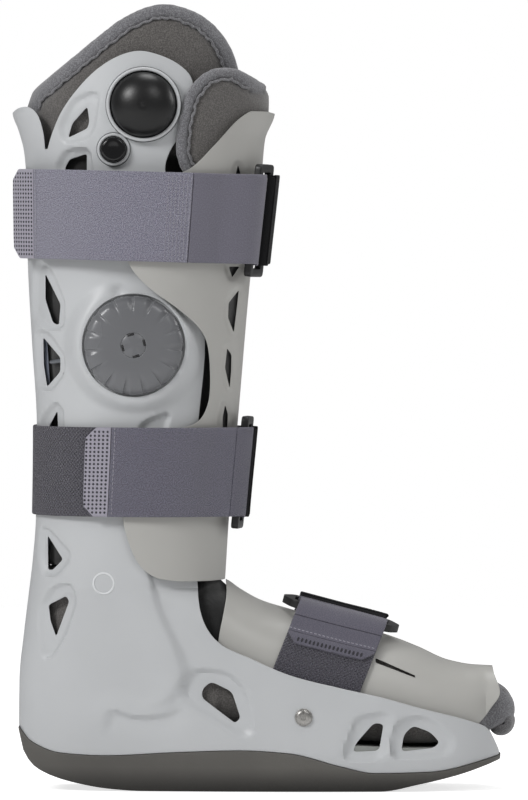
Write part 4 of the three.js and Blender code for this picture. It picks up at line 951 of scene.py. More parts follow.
def rear_shell():
    heights = rows(8, 426, ROW)
    outline = (
        smooth_line(RIM_LINE, 6) + smooth_line(WING_LINE, 5) + smooth_line(SPINE_LINE, 5)
        + [(-160, 384), (-160, 37)]
        + [(x, tray_bottom(x)) for x in rows(-137.4, 138.6, 3)]
    )
    cavity = with_modifiers(
        column(rear_inside, heights, -SHELL_WALL, SEGMENTS // 2),
        [combine("INTERSECT", above(lambda x: tray_bottom(x) + SHELL_WALL, 500))],
    )
    tools = joined([
        disk(POCKET_RADIUS, DIAL, -PAST_SIDE, DIAL_FACE),
        disk(BEZEL_OUTER + 0.3, BULB, -PAST_SIDE, 0),
        disk(COLLAR_OUTER + 0.3, BUTTON, -PAST_SIDE, 0),
    ])
    small = joined([
        disk(VALVE_HOLE, DIAL, -PAST_SIDE, 0),
        disk(SCREW_HOLE, SCREW, -PAST_SIDE, 0, 32),
        disk(SCREW_HOLE, SCREW, 0.2, PAST_SIDE, 32),
    ])
    return with_modifiers(
        column(rear_outside, heights, 0, SEGMENTS),
        [
            combine("INTERSECT", prism(outline)),
            combine("DIFFERENCE", cavity),
            combine("DIFFERENCE", tools),
            combine("DIFFERENCE", small),
            combine("DIFFERENCE", vent_tools(rear_vent_outlines)),
            combine("DIFFERENCE", vent_tools(tray_vent_outlines)),
        ],
    )


piece("rear_shell_skin", rear_shell(), shell_plastic, "boot", ["rear_shell"])


def ring_mark():
    """A plain raised ring on the side of the heel."""
    bm = turned([(5.2, 0), (5.35, 0.4), (6.35, 0.4), (6.5, 0)], (-88, 119), 0, 96, closed=True)
    for v in bm.verts:
        v.co.y -= tray_half(v.co.x, v.co.z) - 0.08
    return bm


piece("ring_mark", ring_mark(), mark_plastic, "boot", (), 60)


def front_wall(angle, z, offset):
    x = front_section(angle, z, offset).x
    return front_section(angle, z, offset - dish(front_vent_outlines, x, z, 1.4, 3.5))


def front_shell():
    heights = rows(116, 388, ROW)
    return with_modifiers(
        column(front_wall, heights, 0, SEGMENTS),
        [
            combine("DIFFERENCE", column(front_wall, rows(112, 392, ROW), -SHELL_WALL, SEGMENTS)),
            combine("INTERSECT", prism(smooth_line(FRONT_SHELL, 6, closed=True))),
            combine("DIFFERENCE", disk(BOSS_RADIUS + 1, DIAL, -PAST_SIDE, 0)),
            combine("DIFFERENCE", vent_tools(front_vent_outlines)),
        ],
    )


piece("front_shell_skin", front_shell(), panel_plastic, "front_panel", ["front_shell"])


def outsole():
    heights = [-0.6] + rows(2, 46, 2.2)
    outline = [(x, tray_bottom(x) - 0.3) for x in rows(-137.2, 139.4, 3)]
    outline += [(x, sole_bottom(x)) for x in reversed(rows(-137.6, 139.4, 3))]
    grooves = []
    for x in (-96, -84, -72, -60, -48, -36, 36, 48, 60, 72, 84, 96, 108):
        low = sole_bottom(x)
        edge = tray_half(x, 28) - 14
        tread = [(x - 1.9, low - 3), (x + 1.9, low - 3), (x + 1.1, low + 2), (x - 1.1, low + 2)]
        grooves.append(prism(tread, -edge, edge))
    return with_modifiers(
        column(rear_section, heights, 0.8, SEGMENTS),
        [combine("INTERSECT", prism(outline)), combine("DIFFERENCE", joined(grooves))],
    )


piece("rocker_sole", outsole(), sole_rubber, "boot", ["outsole"])


def footbed():
    return with_modifiers(
        column(rear_section, rows(8, 46, 4), -4, 96),
        [
            combine("INTERSECT", above(lambda x: tray_bottom(x) + 3.4, 60)),
            combine("DIFFERENCE", above(lambda x: sock_floor(x) - 0.6, 60)),
        ],
    )


piece("footbed_sheet", footbed(), footbed_foam, "boot", ["footbed"])


def arch_foot(x):
    return max(rim_height(x) - 8, sock_floor(x) + 4)


def arch_half(x):
    widest = min(x, 130)
    return tray_half(widest, min(rim_height(widest), 84)) - 6.5


def arch_point(x, angle, offset):
    foot = arch_foot(x)
    rise = max(math.cos(angle), 0) ** 0.75
    y = (arch_half(x) + offset) * power(math.sin(angle), 0.8)
    return Vector((x, y, foot + (crown_line(x) + offset - foot) * rise))


CROWN_SLIT = [(67, 73.4), (90, 64.6), (89.6, 66), (67, 76)]


def instep_shell():
    wall = 2.5
    us, vs = rows(-26, 140, 1.9), rows(-math.pi / 2, math.pi / 2, math.pi / 110)
    return with_modifiers(
        faced_out(slab(us, vs, lambda u, v, layer: arch_point(u, v, 0 if layer else -wall))),
        [
            combine("INTERSECT", prism(smooth_line(INSTEP, 6, closed=True))),
            combine("DIFFERENCE", prism(rounded(CROWN_SLIT, 1))),
        ],
    )


piece("instep_shell_skin", instep_shell(), panel_plastic, "instep", ["instep_shell"])

# ---------------------------------------------------------------- liner and padding
VOXEL = 1.9
CUFF_STITCH_IN = 8.0


def mark_border(bm, outline, stitch_in, keep=lambda co: True, dip=1.3):
    """Presses a stitched line into a padded piece at a set way in from its outline, and marks binding and seam."""
    binding = bm.verts.layers.float.new("binding")
    seam = bm.verts.layers.float.new("seam")
    bm.normal_update()
    moves = []
    for v in bm.verts:
        if not keep(v.co):
            continue
        away = min(span_to_line((v.co.x, v.co.z), a, b)[0] for a, b in zip(outline, outline[1:]))
        pucker = 0.35 * math.sin(0.9 * (v.co.x + v.co.z)) + 0.25 * math.sin(1.7 * (v.co.x - v.co.z))
        off = away - stitch_in + 0.4 * pucker
        v[binding] = 1 - ease((away - stitch_in) / 1.2 + 0.5)
        v[seam] = math.exp(-((off / 0.8) ** 2))
        moves.append((v, math.exp(-((off / 1.5) ** 2)) * dip - 0.5 * math.exp(-(((away - stitch_in / 2) / 2.4) ** 2))))
    for v, depth in moves:
        v.co -= v.normal * depth


def liner_leg():
    heights = rows(128, 449, 4)
    top = smooth_line(LINER_TOP, 6)
    outline = top + [(20, 100), (-150, 100)]
    made = with_modifiers(
        column(rear_section, heights, LINER_OUTSIDE, 120),
        [
            combine("DIFFERENCE", column(rear_section, [124] + heights + [453], LINER_INSIDE, 120)),
            combine("INTERSECT", prism(outline)),
        ],
    )
    made = softened(made, VOXEL, 4)
    visible = [p for p in top if -136 < p[0] < 0]
    mark_border(made, visible, CUFF_STITCH_IN, keep=lambda co: co.z > 370)
    # Painted shade: the leg below the cuff, seen only through the shell's vents, is darkened to near black.
    painted_shade = made.verts.layers.float.new("painted_shade")
    for v in made.verts:
        v[painted_shade] = 0.9 * ease((366 - v.co.z) / 6)
    return made


def side_of(section_back, section_front, half, x, power_of):
    """How far out the side of a section is at x."""
    c = min(max(2 * (x - section_back) / (section_front - section_back) - 1, -1.0), 1.0)
    return half * math.sqrt(1 - c * c) ** power_of


def rear_side(x, z, offset):
    return side_of(rear_line(z) - offset, section_front(z) + offset, half_width(z) + offset, x, squareness(z))


def front_side(x, z, offset):
    half = half_width(z) + wrap_gap(z) + SHELL_WALL + offset
    return side_of(rear_line(z) - SHELL_WALL - offset, shin_line(z) + offset, half, x, squareness(z))


def piping(line, inward, side, offset, sides=(-1, 1), radius=0.75):
    """A puckered cord let into a seam, a set way in from a line of the side view, on one or both sides."""
    line = [Vector(p) for p in line]
    fine = []
    for a, b in zip(line, line[1:]):
        count = max(1, round((b - a).length / 1.1))
        fine += [a.lerp(b, i / count) for i in range(count)]
    path = []
    for i in range(1, len(fine) - 1):
        along = (fine[i + 1] - fine[i - 1]).normalized()
        wave = 0.35 * math.sin(i * 0.95) + 0.25 * math.sin(i * 0.41 + 1)
        path.append(fine[i] + Vector((along[1], -along[0])) * (inward + wave))
    cords = []
    for hand in sides:
        bm = upright_rod(8, len(path) - 2)
        spots = [Vector((p[0], hand * (side(p[0], p[1], offset) + 0.15), p[1])) for p in path]
        for v in bm.verts:
            i = round((v.co.z + 0.5) * (len(path) - 1))
            ahead = (spots[min(i + 1, len(spots) - 1)] - spots[max(i - 1, 0)]).normalized()
            outward = (Vector((0, hand, 0)) - ahead * ahead.y * hand).normalized()
            across = ahead.cross(outward)
            swell = radius * (1 + 0.18 * math.sin(i * 1.3))
            v.co = spots[i] + outward * (v.co.x * swell * 0.8) + across * (v.co.y * swell)
        cords.append(faced_out(bm))
    whole = joined(cords)
    for key in ("binding", "seam", "painted_shade"):
        layer = whole.verts.layers.float.new(key)
        for v in whole.verts:
            v[layer] = 0.9 if key == "binding" else 0.0
    return whole


liner = piece("liner_cuff", liner_leg(), fleece, "boot", ["liner_leg"], crease=80)
cuff_line = [p for p in smooth_line(LINER_TOP, 6) if -134 < p[0] < -10]
piece(
    "liner_cuff_piping", piping(cuff_line, CUFF_STITCH_IN, rear_side, LINER_OUTSIDE), fleece, "boot", (),
    80,
)

LINER_TIP, HOLLOW_TIP = 147.6, 139
SOCK_INSET, SOCK_WALL = 3.5, 6
TOE_SEAM = 58
toe_roof = through([(124, 67.2), (132, 63.4), (140, 59), (145, 54.6), (LINER_TIP, 49)])
toe_floor = through([(128, 31), (133, 33.5), (142, 36.5), (LINER_TIP, 41)])
toe_half = through([(126, 0), (132, 2), (140, 5), (145, 9), (LINER_TIP, 14)])


def foot_tube(from_x, to_x, inset, lining, count, segments=64):
    """A closed sock of foot sections along X, rolled in at the toe."""
    bm = upright_rod(segments, count - 1)
    tip, start = LINER_TIP, 124
    for v in bm.verts:
        x = lerp(from_x, to_x, v.co.z + 0.5)
        across, rise = v.co.x, -v.co.y
        toward = max(x - start, 0) / (tip - start)
        outer = x + lining * toward
        foot = lerp(arch_foot(start), 45, toward) if x > start else arch_foot(x)
        half = arch_half(min(x, 130)) - inset - lining - toe_half(outer)
        nape = 2.8 * ease((-18 - x) / 4)
        roof = (toe_roof(outer) if x > start else crown_line(x) - inset + nape) - lining - foot
        drop = foot - (toe_floor(outer) if x > 128 else sock_floor(x)) - lining
        lift = roof * rise**0.75 if rise > 0 else -drop * (-rise) ** 0.5
        v.co = (x, half * power(across, 0.8), foot + lift)
    return faced_out(bm)


def heel_sock(offset, lift, top):
    keep_back = prism([(-300, -50), (-24, -50), (-24, 260), (-300, 260)])
    return with_modifiers(
        column(rear_section, rows(20, top, 5), offset, 96),
        [combine("INTERSECT", above(lambda x: sock_floor(x) + lift, 300)), combine("INTERSECT", keep_back)],
    )


def liner_foot():
    seam = 127.7
    outer = with_modifiers(
        heel_sock(LINER_OUTSIDE, 0, seam), [combine("UNION", foot_tube(-31, LINER_TIP, SOCK_INSET, 0, 44))]
    )
    inner = with_modifiers(
        heel_sock(LINER_INSIDE, SOCK_WALL, 134),
        [combine("UNION", foot_tube(-60, HOLLOW_TIP, SOCK_INSET, SOCK_WALL, 44))],
    )
    low = prism([(-300, -50), (300, -50), (300, seam), (-300, seam)])
    made = with_modifiers(outer, [combine("DIFFERENCE", inner), combine("INTERSECT", low)])
    made = softened(made, VOXEL, 3)
    binding = made.verts.layers.float.new("binding")
    toe_seam_shade = made.verts.layers.float.new("seam")
    # Painted shade: the sock is darkened to near black in the ankle gap between the rear shell and the instep shell.
    painted_shade = made.verts.layers.float.new("painted_shade")
    for v in made.verts:
        v[binding] = ease((v.co.x - 118) / 6)
        # Painted shade: a dark line is painted across the sock at the toe seam as its shade.
        v[toe_seam_shade] = math.exp(-(((v.co.x - TOE_SEAM) / 0.9) ** 2))
        v[painted_shade] = ease((v.co.x + 52) / 3) * ease((2 - v.co.x) / 8) * ease((v.co.z - 66) / 6)
    return made


sock = piece("liner_foot_sock", liner_foot(), fleece, "boot", ["liner_foot", "liner_toe"], crease=80)


def rolled_lobe(centre_x, centre_z, thick, tall, width):
    """A soft roll of cloth across the boot, drawn in at both ends and a little uneven."""
    def place(u, v, layer):
        turn = math.radians(u)
        full = max(1 - abs(v / (width + 0.4)) ** 4, 0.0) ** 0.5
        radius = (1.0 if layer else 0.35) * (0.3 + 0.7 * full)
        radius *= 1 + 0.06 * math.sin(2 * turn + 0.5 + v * 0.12) + 0.03 * math.sin(v * 0.7 + turn)
        centre = Vector((centre_x, v, centre_z + 0.5 * math.sin(v * 0.31)))
        return centre + Vector((math.cos(turn) * radius * thick, 0, math.sin(turn) * radius * tall))
    return faced_out(slab(rows(-176, 176, 8), rows(-width, width, 2.0), place))


def toe_roll():
    """The liner's toe end, folded over on itself: a large roll with a smaller one above it."""
    width = arch_half(130) - 11
    bm = joined([rolled_lobe(140.2, 37.6, 7.2, 7.0, width), rolled_lobe(139.6, 50.2, 4.6, 7.4, width - 3)])
    binding = bm.verts.layers.float.new("binding")
    bm.verts.layers.float.new("seam")
    for v in bm.verts:
        v[binding] = 0.6
    return bm


roll = piece("liner_toe_roll", toe_roll(), fleece, "boot", (), crease=80)


PAD_OUTSIDE, PAD_INSIDE, PAD_STITCH_IN = -3.4, -8.4, 7.5
pad_outline = smooth_line(PAD, 6, closed=True)
pad_line = [p for p in reversed(pad_outline[-48:] + pad_outline[:60]) if p[1] > 335 and p[0] < 2]


def front_pad():
    made = with_modifiers(
        column(front_section, rows(132, 414, 4), PAD_OUTSIDE, 120),
        [
            combine("DIFFERENCE", column(front_section, rows(128, 418, 4), PAD_INSIDE, 120)),
            combine("INTERSECT", prism(pad_outline)),
            combine("DIFFERENCE", disk(21.6, BULB, -PAST_SIDE, 0)),
        ],
    )
    made = softened(made, 2.2, 3)
    mark_border(made, pad_line, PAD_STITCH_IN)
    # Painted shade: the pad is darkened below the cuff, where it shows through the front shell's vents.
    painted_shade = made.verts.layers.float.new("painted_shade")
    for v in made.verts:
        v[painted_shade] = ease((362 - v.co.z + 0.5 * (v.co.x + 14)) / 6)
    return made


pad = piece("front_pad_cushion", front_pad(), fleece, "front_panel", ["front_pad"], crease=80)
piece(
    "front_pad_piping", piping(list(reversed(pad_line)), PAD_STITCH_IN, front_side, PAD_OUTSIDE), fleece,
    "front_panel", (), 80,
)


def air_cell(section, from_degrees, to_degrees, low, high, offsets):
    """A nearly empty air cell: two films welded round the edge, with weld spots down the middle."""
    middle, half = sum(offsets) / 2, abs(offsets[0] - offsets[1]) / 2

    def place(u, v, layer):
        s = 2 * (u - from_degrees) / (to_degrees - from_degrees) - 1
        t = 2 * (v - low) / (high - low) - 1
        crown = max((1 - abs(s) ** 5) * (1 - abs(t) ** 9), 0) ** 0.5
        weld = 0.6 * math.exp(-((s / 0.12) ** 2)) * math.sin(math.pi * (t + 1) * 3) ** 2
        thick = half * (0.12 + 0.88 * crown * (1 - weld))
        return section(math.radians(u), v, middle + (thick if layer else -thick))

    return faced_out(slab(rows(from_degrees, to_degrees, 3), rows(low, high, 3), place))


REAR_OFFSETS = (-4, -6.6)
for cell_name, cell_body, section, *cell in (
    ("air_cell_lateral", "boot", rear_section, -64, -118, 138, 216, REAR_OFFSETS),
    ("air_cell_medial", "boot", rear_section, 62, 120, 138, 330, REAR_OFFSETS),
    ("air_cell_rear", "boot", rear_section, 158, 202, 84, 345, REAR_OFFSETS),
    ("air_cell_front", "front_panel", front_section, -24, 24, 160, 350, (-9.4, -11.5)),
):
    bladder = piece(
        cell_name + "_bladder", air_cell(section, *cell), cell_film, cell_body, [cell_name], 60
    )

# ---------------------------------------------------------------- pump, release button and dial
bulb_profile = [(16.6, 0), (18.3, 0), (18.6, 0.4), (18.6, 1.2)]
bulb_profile += arc(0, 1.2, 18.6, 4, 78, 16, tall=12.2 / 18.6)
bulb_profile += [(2.1, 13.35), (1.5, 13.2), (0.9, 13.45), (0, 13.55)]
bulb_profile += [(0, 11.4)] + list(reversed(arc(0, 1.2, 16.6, 0, 80, 10, tall=10.2 / 16.6)))
piece(
    "pump_bulb_dome", turned(bulb_profile, BULB, BULB_SEAT, 128), bulb_rubber, "bulb", ["pump_bulb"],
    50,
)

bezel_profile = [(BEZEL_INNER, 0), (BEZEL_INNER, 9.0)]
bezel_profile += arc(20.15, 9.0, 1.05, 180, 0, 8)
bezel_profile += [(BEZEL_OUTER, 3.2), (BEZEL_OUTER, 0)]
bezel_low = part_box("pump_bezel")[1].y / MILLIMETRE
bezel_rise = bezel_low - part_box("pump_bezel")[0].y / MILLIMETRE
bezel_profile = [(r, d * bezel_rise / 10.05) for r, d in bezel_profile]
piece(
    "pump_bezel_rim", turned(bezel_profile, BULB, bezel_low, 128, closed=True), shell_plastic, "boot",
    ["pump_bezel"], 50,
)
button_profile = [(0, 0), (7.0, 0), (7.1, 0.2), (7.1, 5.2)] + arc(5.6, 5.4, 1.5, 0, 75, 5)
button_profile += [(4.6, 6.85), (3.2, 6.6), (1.6, 6.45), (0, 6.4)]
piece(
    "release_button_cap", turned(button_profile, BUTTON, BUTTON_BACK, 72), button_gloss, "button",
    ["release_button"], 50,
)
collar_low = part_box("release_collar")[1].y / MILLIMETRE
collar_rise = collar_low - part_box("release_collar")[0].y / MILLIMETRE
collar_profile = [(COLLAR_INNER, 0), (COLLAR_INNER, collar_rise - 0.9)]
collar_profile += arc(8.45, collar_rise - 0.9, 0.95, 180, 0, 8) + [(COLLAR_OUTER, 0)]
piece(
    "release_collar_rim", turned(collar_profile, BUTTON, collar_low, 96, closed=True), shell_plastic, "boot",
    ["release_collar"], 50,
)


def dial_cap():
    """The dial: a low dome with fifteen finger grooves that start sharp on one side and run out on the other."""
    flutes = 15
    hollow = [(0, 4.2), (25, 4.2), (25, 0.4)]
    rim = [(27.6, 0.4), (28.2, 1.0), (28.2, 3.6), (28.0, 4.8), (27.4, 6.0), (26.5, 7.0), (25.4, 7.8)]
    face = [(24.2, 8.2), (23, 8.5), (21.8, 8.75), (20.5, 8.95), (19, 9.12), (17, 9.28), (14, 9.42), (10, 9.52)]
    centre = [(7.4, 9.58), (7.1, 9.2), (6.8, 9.2), (6.8, 9.3), (0, 9.3)]
    bm = turned(hollow + rim + face + centre, DIAL, DIAL_FACE, 300)
    for v in bm.verts:
        dx, dz, out = v.co.x - DIAL[0], v.co.z - DIAL[1], DIAL_FACE - v.co.y
        away = math.hypot(dx, dz)
        if away < 16 or out < 3:
            continue
        turn = (math.degrees(math.atan2(dz, dx)) / 360 * flutes + 0.3) % 1
        cut = ease(turn / 0.07) * (1 - ease((turn - 0.07) / 0.36))
        reach = ease((away - 17) / 9)
        v.co.y += 1.25 * cut * reach
        if away > 24:
            v.co.x -= dx / away * 0.25 * cut
            v.co.z -= dz / away * 0.25 * cut
    return bm


piece("dial_cap", dial_cap(), dial_plastic, "dial", ["selector_dial"], 28)


def hub_blocks(size, seat, bevel=0.0):
    """Four small blocks round the hub, at its slots."""
    blocks = []
    for quarter in range(4):
        turn = math.radians(14 + 90 * quarter)
        block = bmesh.new()
        bmesh.ops.create_cube(block, size=1)
        bmesh.ops.scale(block, verts=block.verts, vec=size)
        if bevel:
            bmesh.ops.bevel(
                block, geom=block.edges, offset=bevel, segments=2, profile=0.5, affect="EDGES", material=-1
            )
        bmesh.ops.rotate(block, verts=block.verts, cent=(0, 0, 0), matrix=Matrix.Rotation(-turn, 3, "Y"))
        spot = (DIAL[0] + 6.2 * math.cos(turn), seat, DIAL[1] + 6.2 * math.sin(turn))
        bmesh.ops.translate(block, verts=block.verts, vec=spot)
        blocks.append(block)
    return joined(blocks)


def dial_hub():
    seat = DIAL_FACE - 9.4
    blank = turned([(0, 0), (7.0, 0), (7.0, 0.2), (6.8, 0.35), (0, 0.36)], DIAL, seat, 72)
    return with_modifiers(blank, [combine("DIFFERENCE", hub_blocks((1.4, 3, 3.9), seat))])


piece("dial_hub_cap", dial_hub(), dial_plastic, "dial", ["dial_hub"], 40)
# Black blocks set into the hub's slots: painted shade, standing in for the dark inside of the holes.
slot_shade_blocks = hub_blocks((1.3, 0.25, 3.8), DIAL_FACE - 9.66, bevel=0.1)
piece("dial_hub_slot_shade", slot_shade_blocks, black_plastic, "dial", (), 40)


def button_spring():
    """The coil spring behind the release button."""
    low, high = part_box("release_spring")
    length, across = (high.y - low.y) / MILLIMETRE, (high.x - low.x) / MILLIMETRE
    wire, turns, steps = 0.35, 4, 96
    bm = upright_rod(8, steps - 1)
    for v in bm.verts:
        share = v.co.z + 0.5
        turn = 2 * math.pi * turns * share
        outward = Vector((math.cos(turn), 0, math.sin(turn)))
        place = Vector((BUTTON[0], low.y / MILLIMETRE + wire + (length - 2 * wire) * share, BUTTON[1]))
        v.co = place + outward * (across / 2 - wire + wire * v.co.x) + Vector((0, wire * v.co.y, 0))
    return faced_out(bm)


spring = piece("release_spring_coil", button_spring(), steel, "boot", ["release_spring"], 60)
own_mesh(spring)

# ---------------------------------------------------------------- screws
for side, label in ((-1, "lateral"), (1, "medial")):
    head = turned(
        [(0, -3), (2.4, -3), (2.4, -0.1), (4.1, 0), (4.5, 0.3), (4.5, 0.8), (4.1, 1.4), (3.2, 1.75), (0, 1.8)],
        SCREW, -SCREW_WALL - 0.6, 64,
    )
    hexagon = disk(1.75, SCREW, -SCREW_WALL - 6, -SCREW_WALL - 1.2, 6)
    head = with_modifiers(head, [combine("DIFFERENCE", hexagon)])
    washer = turned(
        [(3.1, 0), (4.9, 0), (5.1, 0.12), (4.9, 0.32), (3.1, 0.34)], SCREW, -SCREW_WALL - 0.22, 64, closed=True
    )
    for name, made in (("foot_screw_", head), ("foot_washer_", washer)):
        if side > 0:
            bmesh.ops.mirror(made, geom=made.verts[:] + made.edges[:] + made.faces[:], axis="Y", merge_dist=-1)
            lateral = [v for v in made.verts if v.co.y < 0]
            bmesh.ops.delete(made, geom=lateral, context="VERTS")
            bmesh.ops.recalc_face_normals(made, faces=made.faces)
        piece(name + label + "_turned", made, steel, "boot", [name + label], 40)

# ---------------------------------------------------------------- straps
STRAP_WIDTH, WEBBING = 51, 1.7
STRAP_EDGE = STRAP_WIDTH / 2
RING_BAR, RING_SLOT, RING_DEPTH = 2.4, 12, 4.2
RING_SPAN = RING_SLOT + 2 * RING_BAR
RING_LENGTH = STRAP_WIDTH + 4
FOLD_INNER = math.hypot(RING_BAR, RING_DEPTH / 2) + 0.3
FOLD_OUTER = FOLD_INNER + WEBBING
BAR_HEIGHT = FOLD_OUTER + 0.5
STRAP_OVER = WEBBING + 0.4
SEAM_GAP = 0.4
FOOT_STRAP_X, FOOT_STRAP_TILT = 46, math.radians(22)


def leg_surface(middle, tilt):
    def surface(angle, across, offset):
        spot = strap_section(angle, middle + across, offset)
        spot.z -= tilt * math.cos(angle)
        return spot
    return surface


def foot_surface(angle, across, offset):
    s, offset = -across, offset + 0.8
    x = FOOT_STRAP_X + s * math.cos(FOOT_STRAP_TILT)
    level = crown_line(FOOT_STRAP_X) - s * math.sin(FOOT_STRAP_TILT)
    for _ in range(6):
        depth = arch_point(x, angle, offset).z - level
        x = FOOT_STRAP_X + s * math.cos(FOOT_STRAP_TILT) + depth * math.tan(FOOT_STRAP_TILT)
    return arch_point(x, angle, offset)


def surface_frame(surface, angle):
    at = surface(angle, 0, 0)
    medial = (surface(angle + 0.02, 0, 0) - at).normalized()
    edge = (surface(angle, 5, 0) - at).normalized()
    normal = medial.cross(edge).normalized()
    if normal.dot(surface(angle, 0, 5) - at) < 0:
        normal.negate()
    return {"at": at, "medial": medial, "normal": normal, "upright": normal.cross(medial).normalized()}


def in_frame(bm, frame_, centre):
    """Moves a shape drawn flat (X medial, Y upright, Z outwards) onto a frame."""
    turn = Matrix((frame_["medial"], frame_["upright"], frame_["normal"])).transposed().to_4x4()
    bm.transform(Matrix.Translation(centre) @ turn)
    return bm


def nearest_angle(surface, point, start, end):
    best = (1e9, start)
    for i in range(201):
        angle = lerp(start, end, i / 200)
        best = min(best, ((surface(angle, 0, 0) - point).length, angle))
    return best


HALF_ACROSS = [6.5, 13, 19.5, 23, 24.4, 25.0, 25.35, STRAP_EDGE]
ACROSS = [-a for a in reversed(HALF_ACROSS)] + [0] + HALF_ACROSS
SELVEDGE, SELVEDGE_ROUND = 24.6, 0.95


def edge_swell(across):
    """Thickness of webbing across its width: full, and round at both selvedges."""
    past = max(0.0, abs(across) - SELVEDGE) / SELVEDGE_ROUND
    return math.sqrt(max(1 - past * past, 0.0))


def webbing(surface, start, end, offset, step=1.6, corner=0.0):
    """A length of webbing on a surface; corner is how far its end is cut back at each side."""
    length = sum(
        (surface(lerp(start, end, (i + 1) / 24), 0, 1) - surface(lerp(start, end, i / 24), 0, 1)).length
        for i in range(24)
    )
    count = max(6, round(length / step))
    us = [lerp(start, end, i / count) for i in range(count + 1)]

    def place(u, v, layer):
        if corner:
            room = min(STRAP_EDGE - abs(v), corner)
            share = (u - start) / (end - start)
            u = lerp(start, end, share * (1 - (corner - room) / length))
        return surface(u, v, offset(u) + WEBBING / 2 + (WEBBING / 2 if layer else -WEBBING / 2) * edge_swell(v))

    return faced_out(slab(us, ACROSS, place))


def fold_round_bar(start, end):
    """Webbing folded round a bar that lies along Y: 0 degrees is medial and 90 outwards."""
    def place(u, v, layer):
        middle, half = (FOLD_INNER + FOLD_OUTER) / 2, WEBBING / 2 * edge_swell(v)
        radius = middle + (half if layer else -half)
        return Vector((radius * math.cos(math.radians(u)), v, radius * math.sin(math.radians(u))))
    return faced_out(slab(rows(start, end, 7.5), ACROSS, place))


def ring_loop(pointed):
    """A black ring: two long bars and two short ends, with softened edges."""
    w, h = RING_SPAN / 2 + RING_BAR, RING_LENGTH / 2 + 2 * RING_BAR
    if pointed:
        outside = rounded([(w, -h + 4), (w, h - 4), (0, h + 3), (-w, h - 4), (-w, -h + 4), (0, -h - 3)], 4)
    else:
        outside = rounded([(w, -h), (w, h), (-w, h), (-w, -h)], 3)
    sw, sh = RING_SPAN / 2 - RING_BAR, RING_LENGTH / 2

    def plate(outline, low, high):
        return carried([(x, y, low) for x, y in outline], (0, 0, high - low))

    blank = plate(outside, -RING_DEPTH / 2, RING_DEPTH / 2)
    hole = plate(rounded([(sw, -sh), (sw, sh), (-sw, sh), (-sw, -sh)], 1), -5, 5)
    ring = with_modifiers(blank, [combine("DIFFERENCE", hole)])
    return with_modifiers(
        ring,
        [("BEVEL", {"width": 0.9, "segments": 3, "limit_method": "ANGLE", "angle_limit": math.radians(50)})],
    )


def stitches(surface, angle, offset, low, high, pitch=2.4):
    """A row of stitches across a strap: small rounded thread bars, each a few dozen faces."""
    bars = []
    at = low
    while at < high:
        here, there = surface(angle, at, offset), surface(angle, at + pitch * 0.62, offset)
        bar = bmesh.new()
        bmesh.ops.create_cone(bar, cap_ends=True, segments=6, radius1=0.28, radius2=0.28, depth=1)
        bmesh.ops.bevel(
            bar, geom=[e for e in bar.edges if abs(e.verts[0].co.z - e.verts[1].co.z) < 0.1],
            offset=0.12, segments=1, profile=0.5, affect="EDGES", material=-1,
        )
        along = there - here
        turn = along.to_track_quat("Z", "X").to_matrix().to_4x4()
        bar.transform(
            Matrix.Translation((here + there) / 2) @ turn @ Matrix.Diagonal((1, 1, along.length, 1))
        )
        bars.append(bar)
        at += pitch
    return bars


def hook_dots(surface, start, end, over, corner, pitch=2.3, radius=0.8, stretch=1.0):
    """The hook tape's rows of dimples: dark round studs sunk level with the tape."""
    dots = []
    middle = (start + end) / 2
    length = (surface(middle + 1e-3, 0, over(middle)) - surface(middle, 0, over(middle))).length / 1e-3
    steps = int(abs(end - start) * length / (pitch * stretch))
    for i in range(steps):
        angle = start + (end - start) * (i + 0.6) / steps
        offset = over(angle) + WEBBING
        left = (1 - (i + 0.6) / steps) * abs(end - start) * length
        reach = 24 - max(0.0, corner - left)
        count = int(reach / pitch)
        for j in range(-count, count + 1):
            spot = surface(angle, j * pitch, offset)
            ahead = surface(angle - 1e-3, j * pitch, over(angle - 1e-3) + WEBBING) - spot
            up = (surface(angle, j * pitch, offset + 1) - spot).normalized()
            ahead = (ahead - up * ahead.dot(up)).normalized()
            dot = bmesh.new()
            bmesh.ops.create_cone(dot, cap_ends=True, segments=8, radius1=radius, radius2=radius * 0.75, depth=0.3)
            bmesh.ops.scale(dot, verts=dot.verts, vec=(stretch, 1, 1))
            turn = Matrix((ahead, up.cross(ahead), up)).transposed().to_4x4()
            dot.transform(Matrix.Translation(spot) @ turn)
            dots.append(dot)
    return joined(dots)


